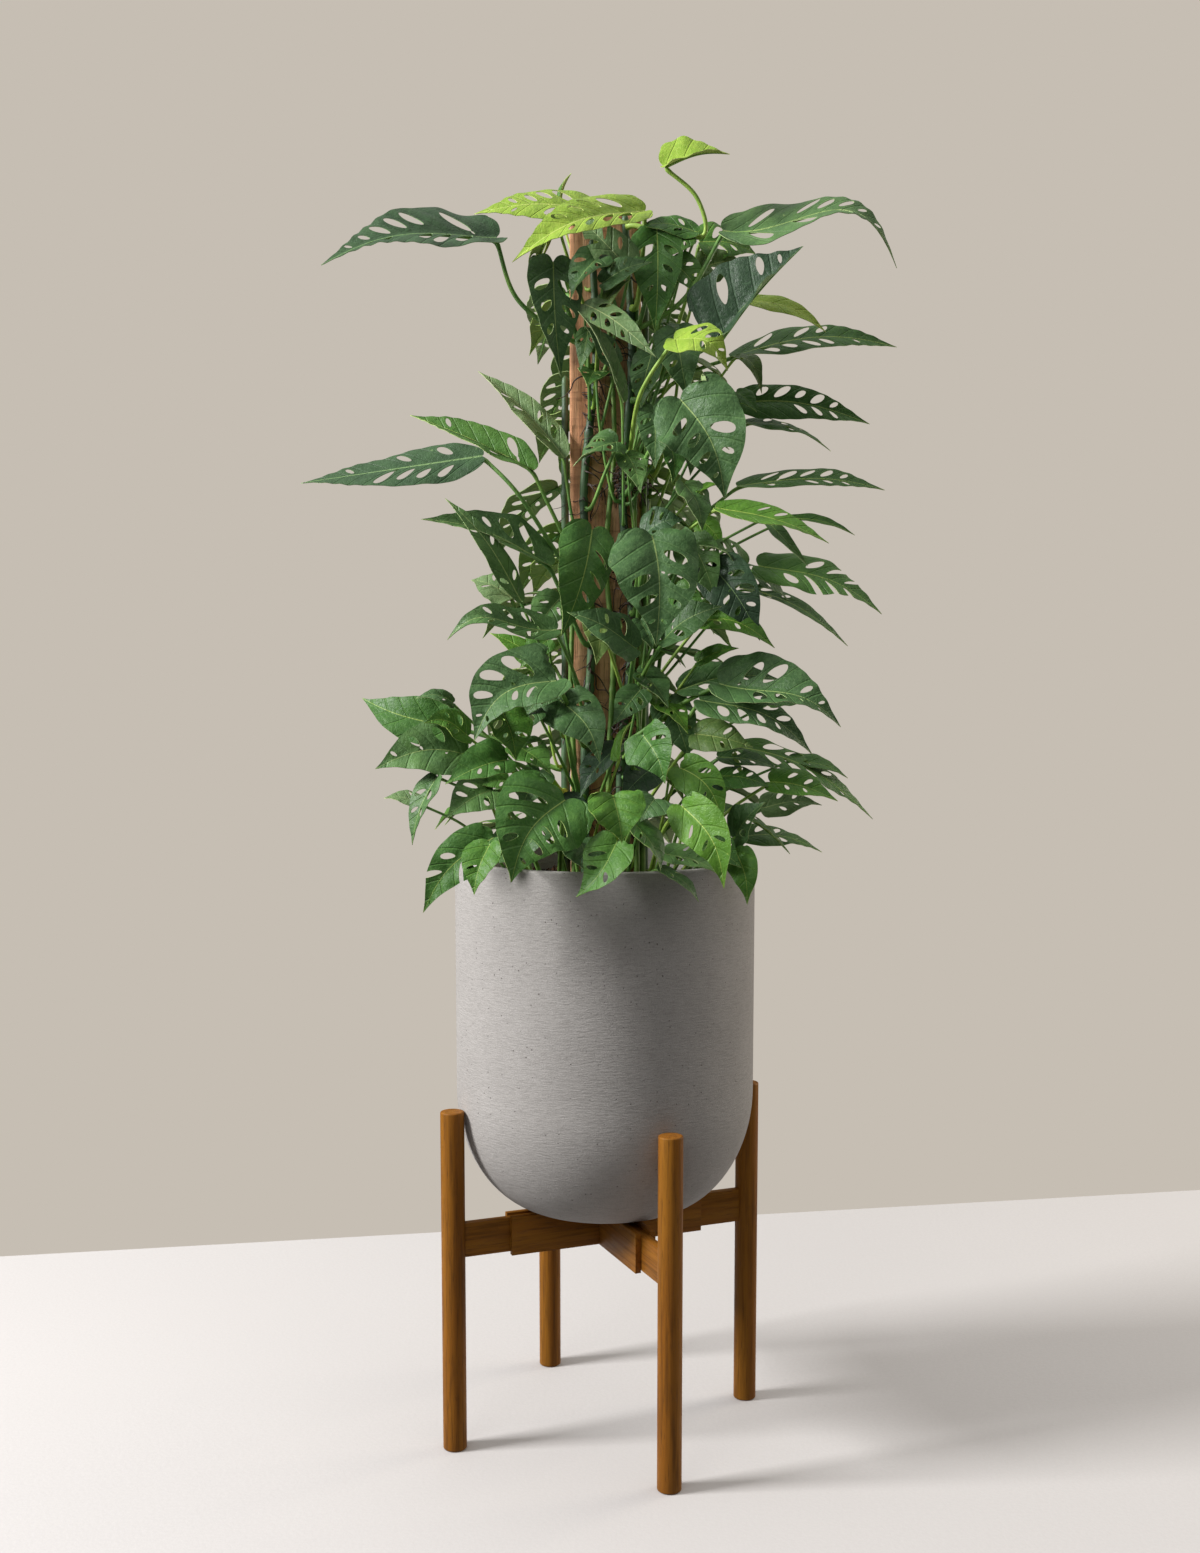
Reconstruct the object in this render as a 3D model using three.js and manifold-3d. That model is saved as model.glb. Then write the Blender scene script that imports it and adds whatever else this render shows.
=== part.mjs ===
// A swiss cheese vine on a timber stake, potted in a round-bottomed planter,
// which stands in an adjustable four-legged wooden stand.
// Millimetres, +Z up. The origin is on the floor, on the axis of the pot.
import * as THREE from 'three';
import { mergeVertices } from 'three/addons/utils/BufferGeometryUtils.js';
import Module from 'manifold-3d';

const wasm = await Module();
wasm.setup();

// Driving dimensions of the pot
const POT_RADIUS = 152.5;
const POT_WALL = 9;
const POT_FLOOR = 12;
const POT_HEIGHT = 363;
const BOWL_HEIGHT = 125;
const BASE_RADIUS = 60;
const RIM_ROUND = 2.5;
const POT_SIDES = 48;
const BOWL_STEPS = 10;

// Driving dimensions of the stand
const LEG_RADIUS = 12;
const LEG_HEIGHT = 350;
const LEG_EDGE = 1.5;
const LEG_SIDES = 20;
const STAND_TURN = THREE.MathUtils.degToRad(22.1);
const RAIL_TOP = 237;
const RAIL_HEIGHT = 40;
const RAIL_THICK = 6;
const RAIL_REACH = 106;
const ARM_HEIGHT = 35;
const ARM_THICK = 9;
const ARM_MORTISE = 8;
const ARM_INNER = 13;
const KEY_HEIGHT = 6;
const KEY_REACH = [58, 94];
const KEY_SEAT = 3;
const KEY_STEPS = 4;
const ARM_TRAVEL = 35;

// Driving dimensions of the planting
const SOIL_DEPTH = 28;
const SOIL_CLEARANCE = 0.5;
const SOIL_EDGE_WIDTH = 6;
const SOIL_EDGE_DROP = 4;
const STAKE_WIDTH = 70;
const STAKE_THICK = 40;
const STAKE_TOP = 1229;
const STAKE_BURIED = 150;
const STEM_RADIUS = 4.5;
const STEM_BURIED = 20;
const STEM_SIDES = 8;
const STEM_STEPS = 16;
const PETIOLE_RADIUS = 2;
const PETIOLE_SIDES = 6;
const PETIOLE_STEPS = 7;
const PETIOLE_START = 6;
const PETIOLE_BOW = 0.08;
const PETIOLE_LIFT = 0.06;
const PETIOLE_ENTRY = 0.06;
const BLADE_THICK = 1.2;
const BLADE_STEPS = 6;
const BLADE_ARCH = 0.1;
const BLADE_FOLD = 16;

// Shape of a blade: exponents of its outline, and the least width
const BLADE_WIDEST = 0.56;
const BLADE_FULLNESS = 0.75;
const BLADE_TAPER = 5;
const BLADE_NARROWEST = 0.04;
const BLADE_FOOT = 0.03;

// The clearance between pieces that touch
const GAP = 0.3;

// Heights that follow
const POT_BASE = RAIL_TOP + GAP;
const RIM_TOP = POT_BASE + POT_HEIGHT;
const SOIL_TOP = RIM_TOP - SOIL_DEPTH;
const RAIL_MIDDLE = RAIL_TOP - RAIL_HEIGHT / 2;
const CHANNEL_HALF = ARM_THICK / 2 + GAP;
const RAIL_OFFSET = CHANNEL_HALF + RAIL_THICK / 2;
const LEG_DISTANCE = POT_RADIUS + GAP + LEG_RADIUS;

// The place from which the plant was measured: leaves are given by where they
// are seen, across and down in picture points, and by their depth from the pot's axis.
const EYE = new THREE.Vector3(-5, -1740, 785);
const EYE_PITCH = THREE.MathUtils.degToRad(5.87);
const EYE_REACH = 1715;
const EYE_CENTRE = [600, 850];

// Finishes
const finish = (color, roughness) => new THREE.MeshStandardMaterial({ color, roughness, metalness: 0 });
const WALNUT = finish(0x7a4a1e, 0.45);
const STONEWARE = finish(0xb4afa9, 0.85);
const SOIL = finish(0x3a2a1e, 1);
const ROUGH_TIMBER = finish(0xa9663f, 0.85);
const STEM_GREEN = finish(0x4d6b4a, 0.55);
const LEAF_FINISHES = {
  dark: finish(0x2f5a3c, 0.45),
  mid: finish(0x3e7a35, 0.45),
  bright: finish(0x5c9a2a, 0.45),
  lime: finish(0x9cc43a, 0.5),
};

// A closed solid from a geometry whose shared corners are merged
function solid(geometry) {
  const plain = new THREE.BufferGeometry();
  plain.setAttribute('position', geometry.getAttribute('position'));
  if (geometry.index) plain.setIndex(geometry.index);
  const merged = mergeVertices(plain, 1e-4);
  return new wasm.Manifold(new wasm.Mesh({
    numProp: 3,
    vertProperties: new Float32Array(merged.getAttribute('position').array),
    triVerts: new Uint32Array(merged.index.array),
  }));
}

function geometryOf(body) {
  const mesh = body.getMesh();
  const geometry = new THREE.BufferGeometry();
  geometry.setAttribute('position', new THREE.BufferAttribute(mesh.vertProperties, 3));
  geometry.setIndex(new THREE.BufferAttribute(mesh.triVerts, 1));
  geometry.computeVertexNormals();
  return geometry;
}

function named(name, body, material) {
  const mesh = new THREE.Mesh(body.isBufferGeometry ? body : geometryOf(body), material);
  mesh.name = name;
  return mesh;
}

// A box between two corners
function block(low, high) {
  const size = high.map((value, axis) => value - low[axis]);
  const box = new THREE.BoxGeometry(...size);
  box.translate(...high.map((value, axis) => (value + low[axis]) / 2));
  return box;
}

// A profile of [radius, height] points turned about the vertical axis
function turned(profile, sides) {
  const lathe = new THREE.LatheGeometry(profile.map(([r, z]) => new THREE.Vector2(r, z)), sides);
  lathe.rotateX(Math.PI / 2);
  return lathe;
}

// A round bar along a curve
function tube(curve, radius, sides, steps) {
  const section = new THREE.Shape();
  for (let side = 0; side < sides; side++) {
    const angle = (side / sides) * 2 * Math.PI;
    const place = [radius * Math.cos(angle), radius * Math.sin(angle)];
    if (side === 0) section.moveTo(...place);
    else section.lineTo(...place);
  }
  section.closePath();
  return new THREE.ExtrudeGeometry(section, { steps, extrudePath: curve, bevelEnabled: false });
}

// The wall of the pot: upright above, a quarter ellipse below, down to a flat base
function bowlProfile(inset, floor) {
  const points = [];
  const radius = POT_RADIUS - inset;
  const flat = BASE_RADIUS - inset / 2;
  for (let step = 0; step <= BOWL_STEPS; step++) {
    const angle = (step / BOWL_STEPS) * Math.PI / 2;
    const across = flat + (radius - flat) * Math.sin(angle);
    const up = floor + (BOWL_HEIGHT - floor) * (1 - Math.cos(angle));
    points.push([across, POT_BASE + up]);
  }
  return points;
}

function makePlanter() {
  const outside = bowlProfile(0, 0);
  const inside = bowlProfile(POT_WALL, POT_FLOOR).reverse();
  const inner = POT_RADIUS - POT_WALL;
  const profile = [
    [0, POT_BASE],
    ...outside,
    [POT_RADIUS, RIM_TOP - RIM_ROUND],
    [POT_RADIUS - RIM_ROUND, RIM_TOP],
    [inner + RIM_ROUND, RIM_TOP],
    [inner, RIM_TOP - RIM_ROUND],
    ...inside,
    [0, POT_BASE + POT_FLOOR],
  ];
  return named('planter', turned(profile, POT_SIDES), STONEWARE);
}

// The soil fills the pot and has a socket for the stake and for each stem
function makeSoil(sockets) {
  const inset = POT_WALL + SOIL_CLEARANCE;
  const profile = [
    [0, POT_BASE + POT_FLOOR + GAP],
    ...bowlProfile(inset, POT_FLOOR + GAP),
    [POT_RADIUS - inset, SOIL_TOP - SOIL_EDGE_DROP],
    [POT_RADIUS - inset - SOIL_EDGE_WIDTH, SOIL_TOP],
    [0, SOIL_TOP],
  ];
  let soil = solid(turned(profile, POT_SIDES));
  for (const socket of sockets) soil = soil.subtract(solid(socket));
  return named('potting_soil', soil, SOIL);
}

function stakeBox(grow) {
  const half = [STAKE_WIDTH / 2 + grow, STAKE_THICK / 2 + grow];
  return block(
    [-half[0], -half[1], SOIL_TOP - STAKE_BURIED - grow],
    [half[0], half[1], STAKE_TOP + grow],
  );
}

// One leg: a turned dowel with eased ends and a mortise for its arm
function makeLeg(name) {
  const edge = LEG_RADIUS - LEG_EDGE;
  const profile = [
    [0, 0],
    [edge, 0],
    [LEG_RADIUS, LEG_EDGE],
    [LEG_RADIUS, LEG_HEIGHT - LEG_EDGE],
    [edge, LEG_HEIGHT],
    [0, LEG_HEIGHT],
  ];
  const dowel = turned(profile, LEG_SIDES);
  dowel.translate(LEG_DISTANCE, 0, 0);
  const side = ARM_THICK / 2 + GAP;
  const rise = ARM_HEIGHT / 2 + GAP;
  const mortise = block(
    [LEG_DISTANCE - 2 * LEG_RADIUS, -side, RAIL_MIDDLE - rise],
    [LEG_DISTANCE - LEG_RADIUS + ARM_MORTISE + GAP, side, RAIL_MIDDLE + rise],
  );
  return named(name, solid(dowel).subtract(solid(mortise)), WALNUT);
}

// A bar with round ends lying along X, as wide across as it is told
function roundEnded(from, to, height, halfWidth) {
  const radius = height / 2;
  const shape = new THREE.Shape();
  shape.absarc(to - radius, 0, radius, -Math.PI / 2, Math.PI / 2, false);
  shape.absarc(from + radius, 0, radius, Math.PI / 2, 1.5 * Math.PI, false);
  const bar = new THREE.ExtrudeGeometry(shape, {
    depth: 2 * halfWidth,
    bevelEnabled: false,
    curveSegments: KEY_STEPS,
  });
  bar.translate(0, 0, -halfWidth);
  bar.rotateX(Math.PI / 2);
  bar.translate(0, 0, RAIL_MIDDLE);
  return bar;
}

// One sliding arm, slotted for its guide key
function makeArm(name) {
  const bar = block(
    [ARM_INNER, -ARM_THICK / 2, RAIL_MIDDLE - ARM_HEIGHT / 2],
    [LEG_DISTANCE - LEG_RADIUS + ARM_MORTISE, ARM_THICK / 2, RAIL_MIDDLE + ARM_HEIGHT / 2],
  );
  const slot = roundEnded(
    KEY_REACH[0] - ARM_TRAVEL - 2 * GAP,
    KEY_REACH[1] + GAP,
    KEY_HEIGHT + 2 * GAP,
    ARM_THICK,
  );
  return named(name, solid(bar).subtract(solid(slot)), WALNUT);
}

function makeKey(name) {
  const key = roundEnded(KEY_REACH[0], KEY_REACH[1], KEY_HEIGHT, CHANNEL_HALF + KEY_SEAT - GAP);
  return named(name, key, WALNUT);
}

// One slat of the cross, along X at a distance to one side. Slats of the two
// directions are halved into each other, and each has a blind seat for its two keys.
function makeRail(name, side, notchedFromTop) {
  const middle = side * RAIL_OFFSET;
  const half = RAIL_THICK / 2;
  let rail = solid(block(
    [-RAIL_REACH, middle - half, RAIL_TOP - RAIL_HEIGHT],
    [RAIL_REACH, middle + half, RAIL_TOP],
  ));
  for (const crossing of [-RAIL_OFFSET, RAIL_OFFSET]) {
    const low = notchedFromTop ? RAIL_MIDDLE - GAP / 2 : RAIL_TOP - 2 * RAIL_HEIGHT;
    const high = notchedFromTop ? RAIL_TOP + RAIL_HEIGHT : RAIL_MIDDLE + GAP / 2;
    rail = rail.subtract(solid(block(
      [crossing - half - GAP, middle - RAIL_THICK, low],
      [crossing + half + GAP, middle + RAIL_THICK, high],
    )));
  }
  const seat = roundEnded(
    KEY_REACH[0] - GAP,
    KEY_REACH[1] + GAP,
    KEY_HEIGHT + 2 * GAP,
    CHANNEL_HALF + KEY_SEAT,
  );
  const opposite = seat.clone();
  opposite.rotateZ(Math.PI);
  rail = rail.subtract(solid(seat)).subtract(solid(opposite));
  return named(name, rail, WALNUT);
}

// The stand, turned so that its left leg points left and a little to the front
function makeStand() {
  const stand = new THREE.Group();
  ['right', 'back', 'left', 'front'].forEach((side, quarter) => {
    const limb = new THREE.Group();
    limb.add(makeLeg(`leg_${side}`), makeArm(`arm_${side}`), makeKey(`guide_key_${side}`));
    limb.rotation.z = quarter * Math.PI / 2;
    stand.add(limb);
  });
  stand.add(makeRail('rail_long_front', -1, true), makeRail('rail_long_back', 1, true));
  const crossing = new THREE.Group();
  crossing.add(makeRail('rail_cross_right', -1, false), makeRail('rail_cross_left', 1, false));
  crossing.rotation.z = Math.PI / 2;
  stand.add(crossing);
  stand.rotation.z = STAND_TURN;
  return stand;
}

// Stems climb against the faces of the stake: [x, y, z] from the soil to the top
const FRONT = -(STAKE_THICK / 2 + STEM_RADIUS + GAP);
const BACK = -FRONT;
const RIGHT = STAKE_WIDTH / 2 + STEM_RADIUS + GAP;
const LEFT = -RIGHT;
const STEM_ROUTES = {
  front_left: [
    [-20, FRONT, 700], [-13, FRONT, 830], [-21, FRONT, 960], [-9, FRONT, 1090], [-13, FRONT, 1205],
  ],
  front_right: [
    [16, FRONT, 700], [27, FRONT, 830], [17, FRONT, 960], [26, FRONT, 1090], [19, FRONT, 1228],
  ],
  left: [[LEFT, -6, 700], [LEFT, 8, 830], [LEFT, -4, 950], [LEFT, 6, 1080]],
  right: [[RIGHT, 4, 700], [RIGHT, -9, 830], [RIGHT, 3, 960], [RIGHT, -8, 1080], [RIGHT, 2, 1170]],
  back: [[-8, BACK, 700], [9, BACK, 830], [-6, BACK, 960], [8, BACK, 1080], [2, BACK, 1190]],
};

function stemCurve([first, ...rest]) {
  const foot = new THREE.Vector3(first[0], first[1], SOIL_TOP - STEM_BURIED);
  const above = new THREE.Vector3(first[0], first[1], SOIL_TOP + STEM_BURIED);
  const route = [foot, above, ...[first, ...rest].map((point) => new THREE.Vector3(...point))];
  return new THREE.CatmullRomCurve3(route);
}

// The point of a climbing curve at a height, by halving
function pointAtHeight(curve, height) {
  let low = 0;
  let high = 1;
  while (high - low > 1e-6) {
    const middle = (low + high) / 2;
    if (curve.getPoint(middle).z < height) low = middle;
    else high = middle;
  }
  return curve.getPoint(low);
}

// The place that is seen at a picture point, at a depth behind the pot's axis
function seen([across, down, depth]) {
  const forward = new THREE.Vector3(0, Math.cos(EYE_PITCH), -Math.sin(EYE_PITCH));
  const up = new THREE.Vector3(0, Math.sin(EYE_PITCH), Math.cos(EYE_PITCH));
  const ray = forward.multiplyScalar(EYE_REACH);
  ray.x += across - EYE_CENTRE[0];
  ray.addScaledVector(up, EYE_CENTRE[1] - down);
  return EYE.clone().addScaledVector(ray, (depth - EYE.y) / ray.y);
}

// Leaves: where the blade starts and ends, its width, its roll towards the viewer,
// and the stem and height that its petiole grows from, or its place in the soil.
const LEAVES = [
  { name: 'leaf_top_left', base: [496, 238, -65], tip: [321, 265, -120], width: 78, roll: 38,
    stem: 'front_left', height: 1100, by: [[518, 300, -58]], arch: 0.09, fold: 30, tint: 'dark' },
  { name: 'leaf_top_arched', base: [596, 212, -35], tip: [474, 214, -50], width: 54, roll: 50,
    stem: 'front_left', height: 1190, arch: 0.08, tint: 'lime' },
  { name: 'leaf_top_new', base: [664, 166, -60], tip: [730, 154, -62], width: 52, roll: 38,
    stem: 'front_right', height: 1215, by: [[704, 235, -50], [697, 198, -56]], fold: 32, tint: 'lime' },
  { name: 'leaf_top_right', base: [724, 231, -50], tip: [897, 268, -60], width: 64, roll: 42,
    stem: 'front_right', height: 1120, by: [[683, 300, -60]], arch: 0.26, crest: 1.5, tint: 'dark' },
  { name: 'leaf_dark_right', base: [722, 338, -80], tip: [803, 246, -95], width: 108, roll: 46,
    stem: 'front_right', height: 1050, arch: 0.04, fold: 35, tint: 'dark' },
  { name: 'leaf_tongue_right', base: [732, 357, 10], tip: [897, 347, 40], width: 46, roll: 35,
    stem: 'right', height: 1060, tint: 'mid' },
  { name: 'leaf_lime_right', base: [674, 339, -110], tip: [728, 371, -125], width: 50, roll: 45,
    stem: 'front_right', height: 990, by: [[640, 395, -85]], arch: 0.3, tint: 'lime' },
  { name: 'leaf_hanging_front', base: [680, 399, -120], tip: [725, 500, -140], width: 84, roll: 68,
    stem: 'front_right', height: 960, bend: -0.1, tint: 'dark' },
  { name: 'leaf_folded_left', base: [564, 458, -25], tip: [478, 371, 5], width: 34, roll: 45,
    stem: 'front_left', height: 930, arch: 0.04, fold: 45, tint: 'mid' },
  { name: 'leaf_finger_left', base: [533, 470, -45], tip: [410, 415, -15], width: 48, roll: 36,
    stem: 'front_left', height: 895, arch: 0.02, fold: 38, tint: 'mid' },
  { name: 'leaf_long_left', base: [482, 456, -80], tip: [301, 483, -75], width: 50, roll: 50,
    stem: 'front_left', height: 870, by: [[515, 490, -85]], arch: 0, tint: 'dark' },
  { name: 'leaf_pierced_left', base: [550, 566, -65], tip: [421, 519, -100], width: 52, roll: 42,
    stem: 'front_left', height: 815, arch: 0.06, fold: 38, tint: 'dark' },
  { name: 'leaf_edge_left', base: [556, 630, -95], tip: [447, 640, -125], width: 42, roll: 45,
    stem: 'front_left', height: 760, arch: 0.2, crest: 2.2, tint: 'dark' },
  { name: 'leaf_big_lower_left', base: [556, 681, -135], tip: [474, 741, -165], width: 84, roll: 40,
    stem: 'front_left', height: 715, arch: 0.13, bend: 0.1, fold: 30, tint: 'dark' },
  { name: 'leaf_far_left', base: [458, 728, -10], tip: [362, 698, 25], width: 52, roll: 65,
    stem: 'left', height: 690, bend: -0.08, tint: 'mid' },
  { name: 'leaf_dark_left', base: [465, 755, -100], tip: [375, 769, -120], width: 60, roll: 60,
    stem: 'left', height: 660, by: [[520, 765, -90]], bend: 0.1, tint: 'dark' },
  { name: 'leaf_rim_left', base: [493, 838, -170], tip: [423, 913, -190], width: 48, roll: 60,
    soil: [-70, -90], bend: 0.06, tint: 'mid' },
  { name: 'leaf_rim_front_left', base: [565, 800, -170], tip: [511, 883, -215], width: 92, roll: 50,
    soil: [-45, -70], bend: 0.12, tint: 'mid' },
  { name: 'leaf_rim_middle', base: [613, 796, -195], tip: [622, 843, -215], width: 56, roll: 10,
    soil: [12, -62], tint: 'bright' },
  { name: 'leaf_rim_low', base: [617, 842, -185], tip: [576, 897, -200], width: 50, roll: 40,
    soil: [-8, -85], bend: -0.14, tint: 'mid' },
  { name: 'leaf_rim_front_right', base: [682, 806, -185], tip: [724, 889, -215], width: 46, roll: 66,
    soil: [40, -75], bend: -0.12, tint: 'bright' },
  { name: 'leaf_rim_right', base: [735, 850, -105], tip: [747, 905, -125], width: 32, roll: 40,
    soil: [85, -60], bend: -0.1, tint: 'bright' },
  { name: 'leaf_low_middle', base: [643, 735, -165], tip: [665, 784, -190], width: 52, roll: 62,
    stem: 'front_right', height: 650, bend: -0.1, tint: 'mid' },
  { name: 'leaf_low_right', base: [680, 768, -125], tip: [723, 826, -145], width: 40, roll: 62,
    soil: [45, -50], bend: -0.15, tint: 'bright' },
  { name: 'leaf_slotted_right', base: [720, 684, -90], tip: [841, 727, -125], width: 78, roll: 40,
    stem: 'front_right', height: 720, arch: 0.17, crest: 1.5, fold: 30, tint: 'dark' },
  { name: 'leaf_under_right', base: [737, 747, -20], tip: [873, 819, -10], width: 46, roll: 30,
    stem: 'right', height: 650, tint: 'mid' },
  { name: 'leaf_low_far_right', base: [738, 838, -10], tip: [822, 852, 20], width: 36, roll: 30,
    soil: [80, -20], tint: 'mid' },
  { name: 'leaf_big_front_left', base: [592, 530, -100], tip: [561, 637, -125], width: 68, roll: 70,
    stem: 'front_left', height: 850, bend: -0.04, tint: 'mid' },
  { name: 'leaf_big_front_right', base: [652, 536, -110], tip: [656, 647, -140], width: 88, roll: 0,
    stem: 'front_right', height: 845, bend: -0.03, tint: 'dark' },
  { name: 'leaf_narrow_right', base: [716, 508, -85], tip: [829, 543, -110], width: 36, roll: 35,
    stem: 'front_right', height: 880, arch: 0.06, fold: 30, tint: 'bright' },
  { name: 'leaf_pointed_right', base: [738, 486, 0], tip: [885, 490, 10], width: 42, roll: 30,
    stem: 'right', height: 900, arch: 0.08, tint: 'mid' },
  { name: 'leaf_lance_right', base: [732, 404, 25], tip: [870, 424, 60], width: 42, roll: 66,
    stem: 'right', height: 985, arch: 0.06, bend: -0.06, tint: 'mid' },
  { name: 'leaf_fingered_right', base: [759, 566, -30], tip: [882, 614, -40], width: 60, roll: 40,
    stem: 'right', height: 800, tint: 'mid' },
];

// Leaves of the far side, given in millimetres
const FAR_LEAVES = [
  { name: 'leaf_back_high', base: [-40, 95, 1180], tip: [-75, 230, 1130], width: 74, roll: 0,
    stem: 'back', height: 1110, tint: 'dark' },
  { name: 'leaf_back_middle', base: [70, 110, 965], tip: [125, 234, 905], width: 76, roll: 0,
    stem: 'back', height: 900, tint: 'dark' },
  { name: 'leaf_back_low', base: [-70, 115, 750], tip: [-130, 228, 690], width: 72, roll: 0,
    stem: 'back', height: 700, tint: 'mid' },
];

// Half the width of a blade along its length, as a share of the widest half:
// heart-shaped at the foot and drawn out to a fine tip
function bladeHalf(along) {
  const swell = Math.sin(Math.PI * Math.pow(along, BLADE_WIDEST));
  const point = 1 - Math.pow(along, BLADE_TAPER);
  return Math.max(BLADE_NARROWEST, Math.pow(Math.max(swell, 0), BLADE_FULLNESS) * point);
}

// The sideways and upward directions of a blade from its run and its roll
function bladeFrame(run, roll) {
  const along = run.clone().normalize();
  const up = new THREE.Vector3(0, 0, 1).addScaledVector(along, -along.z).normalize();
  const side = new THREE.Vector3().crossVectors(up, along);
  if (side.y > 0) side.negate();
  const turn = THREE.MathUtils.degToRad(roll);
  const face = up.clone().multiplyScalar(Math.cos(turn)).addScaledVector(side, Math.sin(turn));
  const across = new THREE.Vector3().crossVectors(along, face);
  return { face, across };
}

// A point of the midrib, which leaves the straight line from foot to tip upwards and sideways
function midribAt(leaf, base, run, face, across, along) {
  const bow = run.length() * Math.sin(Math.PI * Math.pow(along, leaf.crest ?? 1));
  const point = base.clone().addScaledVector(run, along);
  point.addScaledVector(face, bow * (leaf.arch ?? BLADE_ARCH));
  return point.addScaledVector(across, bow * (leaf.bend ?? 0));
}

// A thin plate from foot to tip that arches along its length and folds at the midrib
function makeBlade(leaf, base, run, face, across) {
  const plate = new THREE.BoxGeometry(2, 1, 1, 2, BLADE_STEPS, 1);
  const fold = THREE.MathUtils.degToRad(leaf.fold ?? BLADE_FOLD);
  const position = plate.getAttribute('position');
  for (let corner = 0; corner < position.count; corner++) {
    const share = position.getX(corner);
    const along = position.getY(corner) + 0.5;
    const layer = position.getZ(corner);
    const half = (leaf.width / 2) * bladeHalf(Math.max(along, BLADE_FOOT)) * share;
    const rise = Math.abs(half) * Math.sin(fold) + layer * BLADE_THICK;
    const place = midribAt(leaf, base, run, face, across, along);
    place.addScaledVector(across, half * Math.cos(fold)).addScaledVector(face, rise);
    position.setXYZ(corner, place.x, place.y, place.z);
  }
  return solid(plate);
}

// Where a petiole leaves its stem: just off the bark, on the side of the leaf
function stemStart(curve, height, target) {
  const start = pointAtHeight(curve, height);
  const out = target.clone().sub(start);
  out.z = 0;
  out.normalize();
  const offset = STEM_RADIUS + GAP;
  return { start: start.addScaledVector(out, offset), out };
}

function makeLeaf(leaf, place, stems) {
  const base = place(leaf.base);
  const tip = place(leaf.tip);
  const run = tip.clone().sub(base);
  const { face, across } = bladeFrame(run, leaf.roll);
  const blade = makeBlade(leaf, base, run, face, across);
  let start;
  let out;
  if (leaf.soil) {
    start = new THREE.Vector3(...leaf.soil, SOIL_TOP + GAP);
    out = new THREE.Vector3(0, 0, 1);
  } else {
    ({ start, out } = stemStart(stems[leaf.stem], leaf.height, base));
  }
  const reach = base.distanceTo(start);
  const route = [start, start.clone().addScaledVector(out, PETIOLE_START)];
  if (leaf.by) {
    route.push(...leaf.by.map(place));
  } else {
    const middle = start.clone().lerp(base, 0.5);
    middle.addScaledVector(out, reach * PETIOLE_BOW);
    middle.z += reach * PETIOLE_LIFT;
    route.push(middle);
  }
  route.push(midribAt(leaf, base, run, face, across, PETIOLE_ENTRY));
  const petiole = tube(new THREE.CatmullRomCurve3(route), PETIOLE_RADIUS, PETIOLE_SIDES, PETIOLE_STEPS);
  return named(leaf.name, blade.add(solid(petiole)), LEAF_FINISHES[leaf.tint]);
}

const object = new THREE.Group();
object.add(makeStand());
object.add(makePlanter());

const stems = Object.fromEntries(
  Object.entries(STEM_ROUTES).map(([name, route]) => [name, stemCurve(route)]),
);
const stemTube = (curve, radius) => tube(curve, radius, STEM_SIDES, STEM_STEPS);
const sockets = Object.values(stems).map((curve) => stemTube(curve, STEM_RADIUS + 2 * GAP));
object.add(makeSoil([stakeBox(GAP), ...sockets]));
object.add(named('stake', stakeBox(0), ROUGH_TIMBER));
for (const [name, curve] of Object.entries(stems)) {
  object.add(named(`stem_${name}`, stemTube(curve, STEM_RADIUS), STEM_GREEN));
}
for (const leaf of LEAVES) object.add(makeLeaf(leaf, seen, stems));
for (const leaf of FAR_LEAVES) object.add(makeLeaf(leaf, (point) => new THREE.Vector3(...point), stems));

export default object;
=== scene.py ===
"""A swiss cheese vine on a timber stake, in a round-bottomed planter on a wooden stand.

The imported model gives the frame: +Z up, the pot's axis at the origin, the viewer at -Y.
Sizes and places are millimetres, as in the part's own source, and become metres where
a mesh is made. Finishes, lights and the camera are in metres.
"""

import logging
import math
from dataclasses import dataclass
from enum import Enum

import bmesh
import bpy
import numpy as np
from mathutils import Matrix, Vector
from mathutils.geometry import delaunay_2d_cdt


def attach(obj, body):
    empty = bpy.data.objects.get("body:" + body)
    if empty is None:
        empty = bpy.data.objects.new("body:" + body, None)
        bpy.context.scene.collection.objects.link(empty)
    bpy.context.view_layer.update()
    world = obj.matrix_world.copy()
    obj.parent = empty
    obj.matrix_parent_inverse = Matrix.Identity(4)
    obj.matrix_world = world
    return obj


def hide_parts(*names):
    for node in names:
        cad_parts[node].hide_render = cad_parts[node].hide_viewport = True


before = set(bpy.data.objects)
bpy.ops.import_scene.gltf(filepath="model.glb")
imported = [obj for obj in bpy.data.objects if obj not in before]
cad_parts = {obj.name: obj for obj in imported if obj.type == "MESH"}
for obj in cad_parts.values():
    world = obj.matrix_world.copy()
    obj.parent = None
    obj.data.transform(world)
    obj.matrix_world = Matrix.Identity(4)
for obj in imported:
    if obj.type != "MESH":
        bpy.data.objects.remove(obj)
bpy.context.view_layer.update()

LOG = logging.getLogger("vine")
MM = 0.001
POT_BODY = "pot_and_cross"

Triple = tuple[float, float, float]

# Driving dimensions of the pot and its stand, as in the part's source
POT_RADIUS, POT_WALL, POT_FLOOR, POT_HEIGHT = 152.5, 9.0, 12.0, 363.0
BOWL_HEIGHT, BASE_RADIUS, RIM_ROUND = 125.0, 60.0, 2.5
POT_BASE = 237.3
RIM_TOP = POT_BASE + POT_HEIGHT
SOIL_TOP = RIM_TOP - 28.0
LEG_RADIUS, LEG_HEIGHT, LEG_EDGE, LEG_DISTANCE = 12.0, 350.0, 1.5, 164.8
STAND_TURN = math.radians(22.1)

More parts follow.
